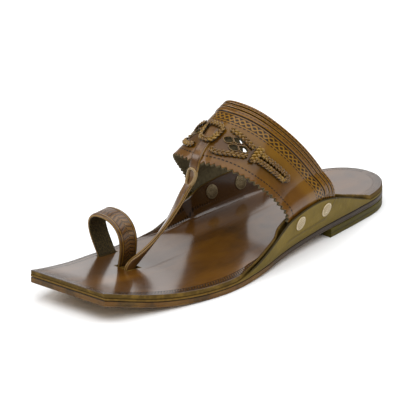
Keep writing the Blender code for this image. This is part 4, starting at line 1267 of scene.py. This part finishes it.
def outsoleFinish():
    # cut edge: brown and tan at the forefoot, dark and waxed at the waist and heel; fine layer lines
    finish = Finish("sole edge", Specular_IOR_Level=0.2, Coat_Weight=0.10, Coat_Roughness=0.35)
    flag = finish.marks("rim")[2]
    y = finish.axes()[1]
    fore = (y * -1.0).step(0.070, 0.145)
    streak = finish.noise(240.0, 4.0, 0.65, (0.18, 0.18, 1.6))
    cloud = finish.noise(60.0, 3.0, 0.6)
    waistTone = finish.tint(soleTones["edge"])
    waistTone = waistTone.color(soleTones["edgePale"], streak.step(0.45, 0.75) * 0.6)
    foreTone = finish.tint(soleTones["brown"]).color(soleTones["tan"], streak.step(0.45, 0.72) * 0.65)
    foreTone = foreTone.color(soleTones["stain"], cloud.step(0.46, 0.66) * 0.75)
    color = waistTone.color(foreTone, fore)
    color = color.color(soleTones["dark"], flag.near(2.0, 0.3, 0.3) * 0.8)
    under = flag.near(3.0, 0.4, 0.3)
    color = color.color(soleTones["under"], under)
    finish.link("Base Color", color)
    finish.link("Roughness", streak * 0.2 + 0.40 + under * 0.2)
    finish.relief(streak * 0.00018 + grain(finish))
    return finish


def blockSide(lowOf, highOf):
    # side of a plain layer: shares of its height and how far the edge swells there
    swells = [(0.22, 0.00005), (0.36, 0.0), (0.40, -0.00012), (0.44, 0.0), (0.62, 0.00005), (0.84, 0.0)]

    def section(s, side):
        edge, low, high = halfWidth(s, side), lowOf(s), highOf(s)
        tall = high - low
        points = [(edge - 0.004, low, 3), (edge - 0.0005, low, 3), (edge - 0.0001, low + 0.0004, 0)]
        points += [(edge + swell, low + tall * t, 0) for t, swell in swells]
        points += [(edge - 0.0001, high - 0.00025, 2), (edge - 0.0004, high, 2), (edge - 0.004, high, 2)]
        return [(np.maximum(x, 0.00005 * (k + 1)), z, f) for k, (x, z, f) in enumerate(points)]

    return section


def heelFinish():
    finish = Finish("heel stack", Specular_IOR_Level=0.08, Coat_Weight=0.06, Coat_Roughness=0.4)
    z = finish.axes()[2]
    fibre = finish.noise(260.0, 5.0, 0.65, (0.25, 0.25, 1.3))
    cloud = finish.noise(50.0, 4.0, 0.6)
    color = finish.tint(heelTones["base"]).color(heelTones["pale"], fibre.step(0.45, 0.72) * 0.7)
    color = color.color(heelTones["grey"], cloud.step(0.45, 0.70) * 0.6)
    lift = z.near(0.0033, 0.00022, 0.6)
    color = color.color(soleTones["dark"], lift * 0.55)
    finish.link("Base Color", color)
    finish.link("Roughness", fibre * 0.2 + 0.45)
    finish.relief(fibre * 0.00014 - lift * 0.0002 + grain(finish))
    return finish


def buildSole():
    stations = soleStations(0.0, sole["length"], 0.0016)
    insole = winged("footbedPiece", insoleSide, stations, footbedFinish(), between=36)
    slots(insole)
    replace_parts(insole, "insole")
    midsole = winged("earPiece", midsoleSide, stations, fleshFinish(), between=2)
    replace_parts(midsole, "midsole")
    side = blockSide(underside, lambda s: underside(s) + sole["outsole"])
    outsole = winged("outsolePiece", side, stations, outsoleFinish(), between=2)
    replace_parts(outsole, "outsole")
    heelRows = soleStations(0.0, sole["heelLength"], 0.0016)
    side = blockSide(lambda s: 0.0 * s, lambda s: 0.0 * s + sole["heelHeight"])
    heel = winged("heelPiece", side, heelRows, heelFinish(), between=2)
    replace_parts(heel, "heel")


def slots(target):
    # openings in the footbed for the toe loop's feet and the centre strap
    room = dict(strapHalf=0.0019, strapFront=0.0045, strapBack=0.0071, loopInner=0.0016, loopOuter=0.0018)
    x, y = strap["footX"], sole["heelCentre"] - strap["footStation"]
    rooms = [(x - room["strapHalf"], x + room["strapHalf"], y - room["strapFront"], y + room["strapBack"])]
    reach = loop["width"] / 2 + sole["gap"]
    for turn in (0.0, 1.0):
        p = loopMiddle(turn)
        rooms.append((p[0] - room["loopInner"], p[0] + room["loopOuter"], p[1] - reach, p[1] + reach))
    low, high = float(midsoleTop(loop["station"])) - 0.002, float(footbed(loop["station"])) + 0.003
    corners = [((x0, y0), (x1, y0), (x1, y1), (x0, y1)) for x0, x1, y0, y1 in rooms]
    cutThrough(target, "slot cutter", [[[(u, v, z) for u, v in rim] for z in (low, high)] for rim in corners])


buildSole()
print("sole built")


def camera():
    # the photo's own angle: a long lens, a little above the shoe and in front of its outer side
    view = dict(lens=216.35, azimuth=44.17, elevation=22.38, distance=1.732, target=(-0.0600, -0.0609, 0.0))
    data = bpy.data.cameras.new("camera")
    data.lens, data.sensor_width = view["lens"], 36.0
    data.clip_start, data.clip_end = 0.05, 50.0
    obj = bpy.data.objects.new("camera", data)
    bpy.context.scene.collection.objects.link(obj)
    a, e = math.radians(view["azimuth"]), math.radians(view["elevation"])
    back = Vector((math.sin(a) * math.cos(e), -math.cos(a) * math.cos(e), math.sin(e)))
    obj.location = Vector(view["target"]) + back * view["distance"]
    obj.rotation_mode = "QUATERNION"
    obj.rotation_quaternion = (-back).to_track_quat("-Z", "Y")
    bpy.context.scene.camera = obj


def floorFinish():
    finish = Finish("studio floor", Roughness=0.9)
    tone = finish.noise(3.0, 2.0, 0.5)
    color = finish.tint((0.93, 0.935, 0.945)).color((0.955, 0.96, 0.965), tone)
    finish.link("Base Color", color)
    return finish


def studio():
    room = dict(floor=6.0, lift=-0.00005, sky=0.24,
                key=dict(place=(0.25, -0.10, 1.30), size=2.4, power=40.0),
                side=dict(place=(-1.10, -0.75, 0.85), size=0.7, power=7.0),
                rear=dict(place=(-1.15, 1.19, 0.62), size=0.9, power=3.0))
    mesh = bpy.data.meshes.new("floor")
    h = room["floor"] / 2
    corners = [(x, y, room["lift"]) for x, y in ((-h, -h), (h, -h), (h, h), (-h, h))]
    mesh.from_pydata(corners, [], [(0, 1, 2, 3)])
    mesh.materials.append(floorFinish().material)
    floor = bpy.data.objects.new("floor", mesh)
    bpy.context.scene.collection.objects.link(floor)
    air = bpy.data.worlds.new("studio")
    air.use_nodes = True
    sky = air.node_tree.nodes["Background"]
    sky.inputs["Color"].default_value = (0.97, 0.985, 1.0, 1.0)
    sky.inputs["Strength"].default_value = room["sky"]
    bpy.context.scene.world = air
    for name in ("key", "side", "rear"):
        row = room[name]
        light = bpy.data.lights.new(name, "AREA")
        light.energy, light.size = row["power"], row["size"]
        obj = bpy.data.objects.new(name, light)
        bpy.context.scene.collection.objects.link(obj)
        obj.location = row["place"]
        aim = Vector((0.0, -0.08, 0.03)) - Vector(row["place"])
        obj.rotation_mode = "QUATERNION"
        obj.rotation_quaternion = aim.to_track_quat("-Z", "Y")
    bpy.context.scene.view_settings.view_transform = "Standard"


studio()
camera()
print("studio ready")
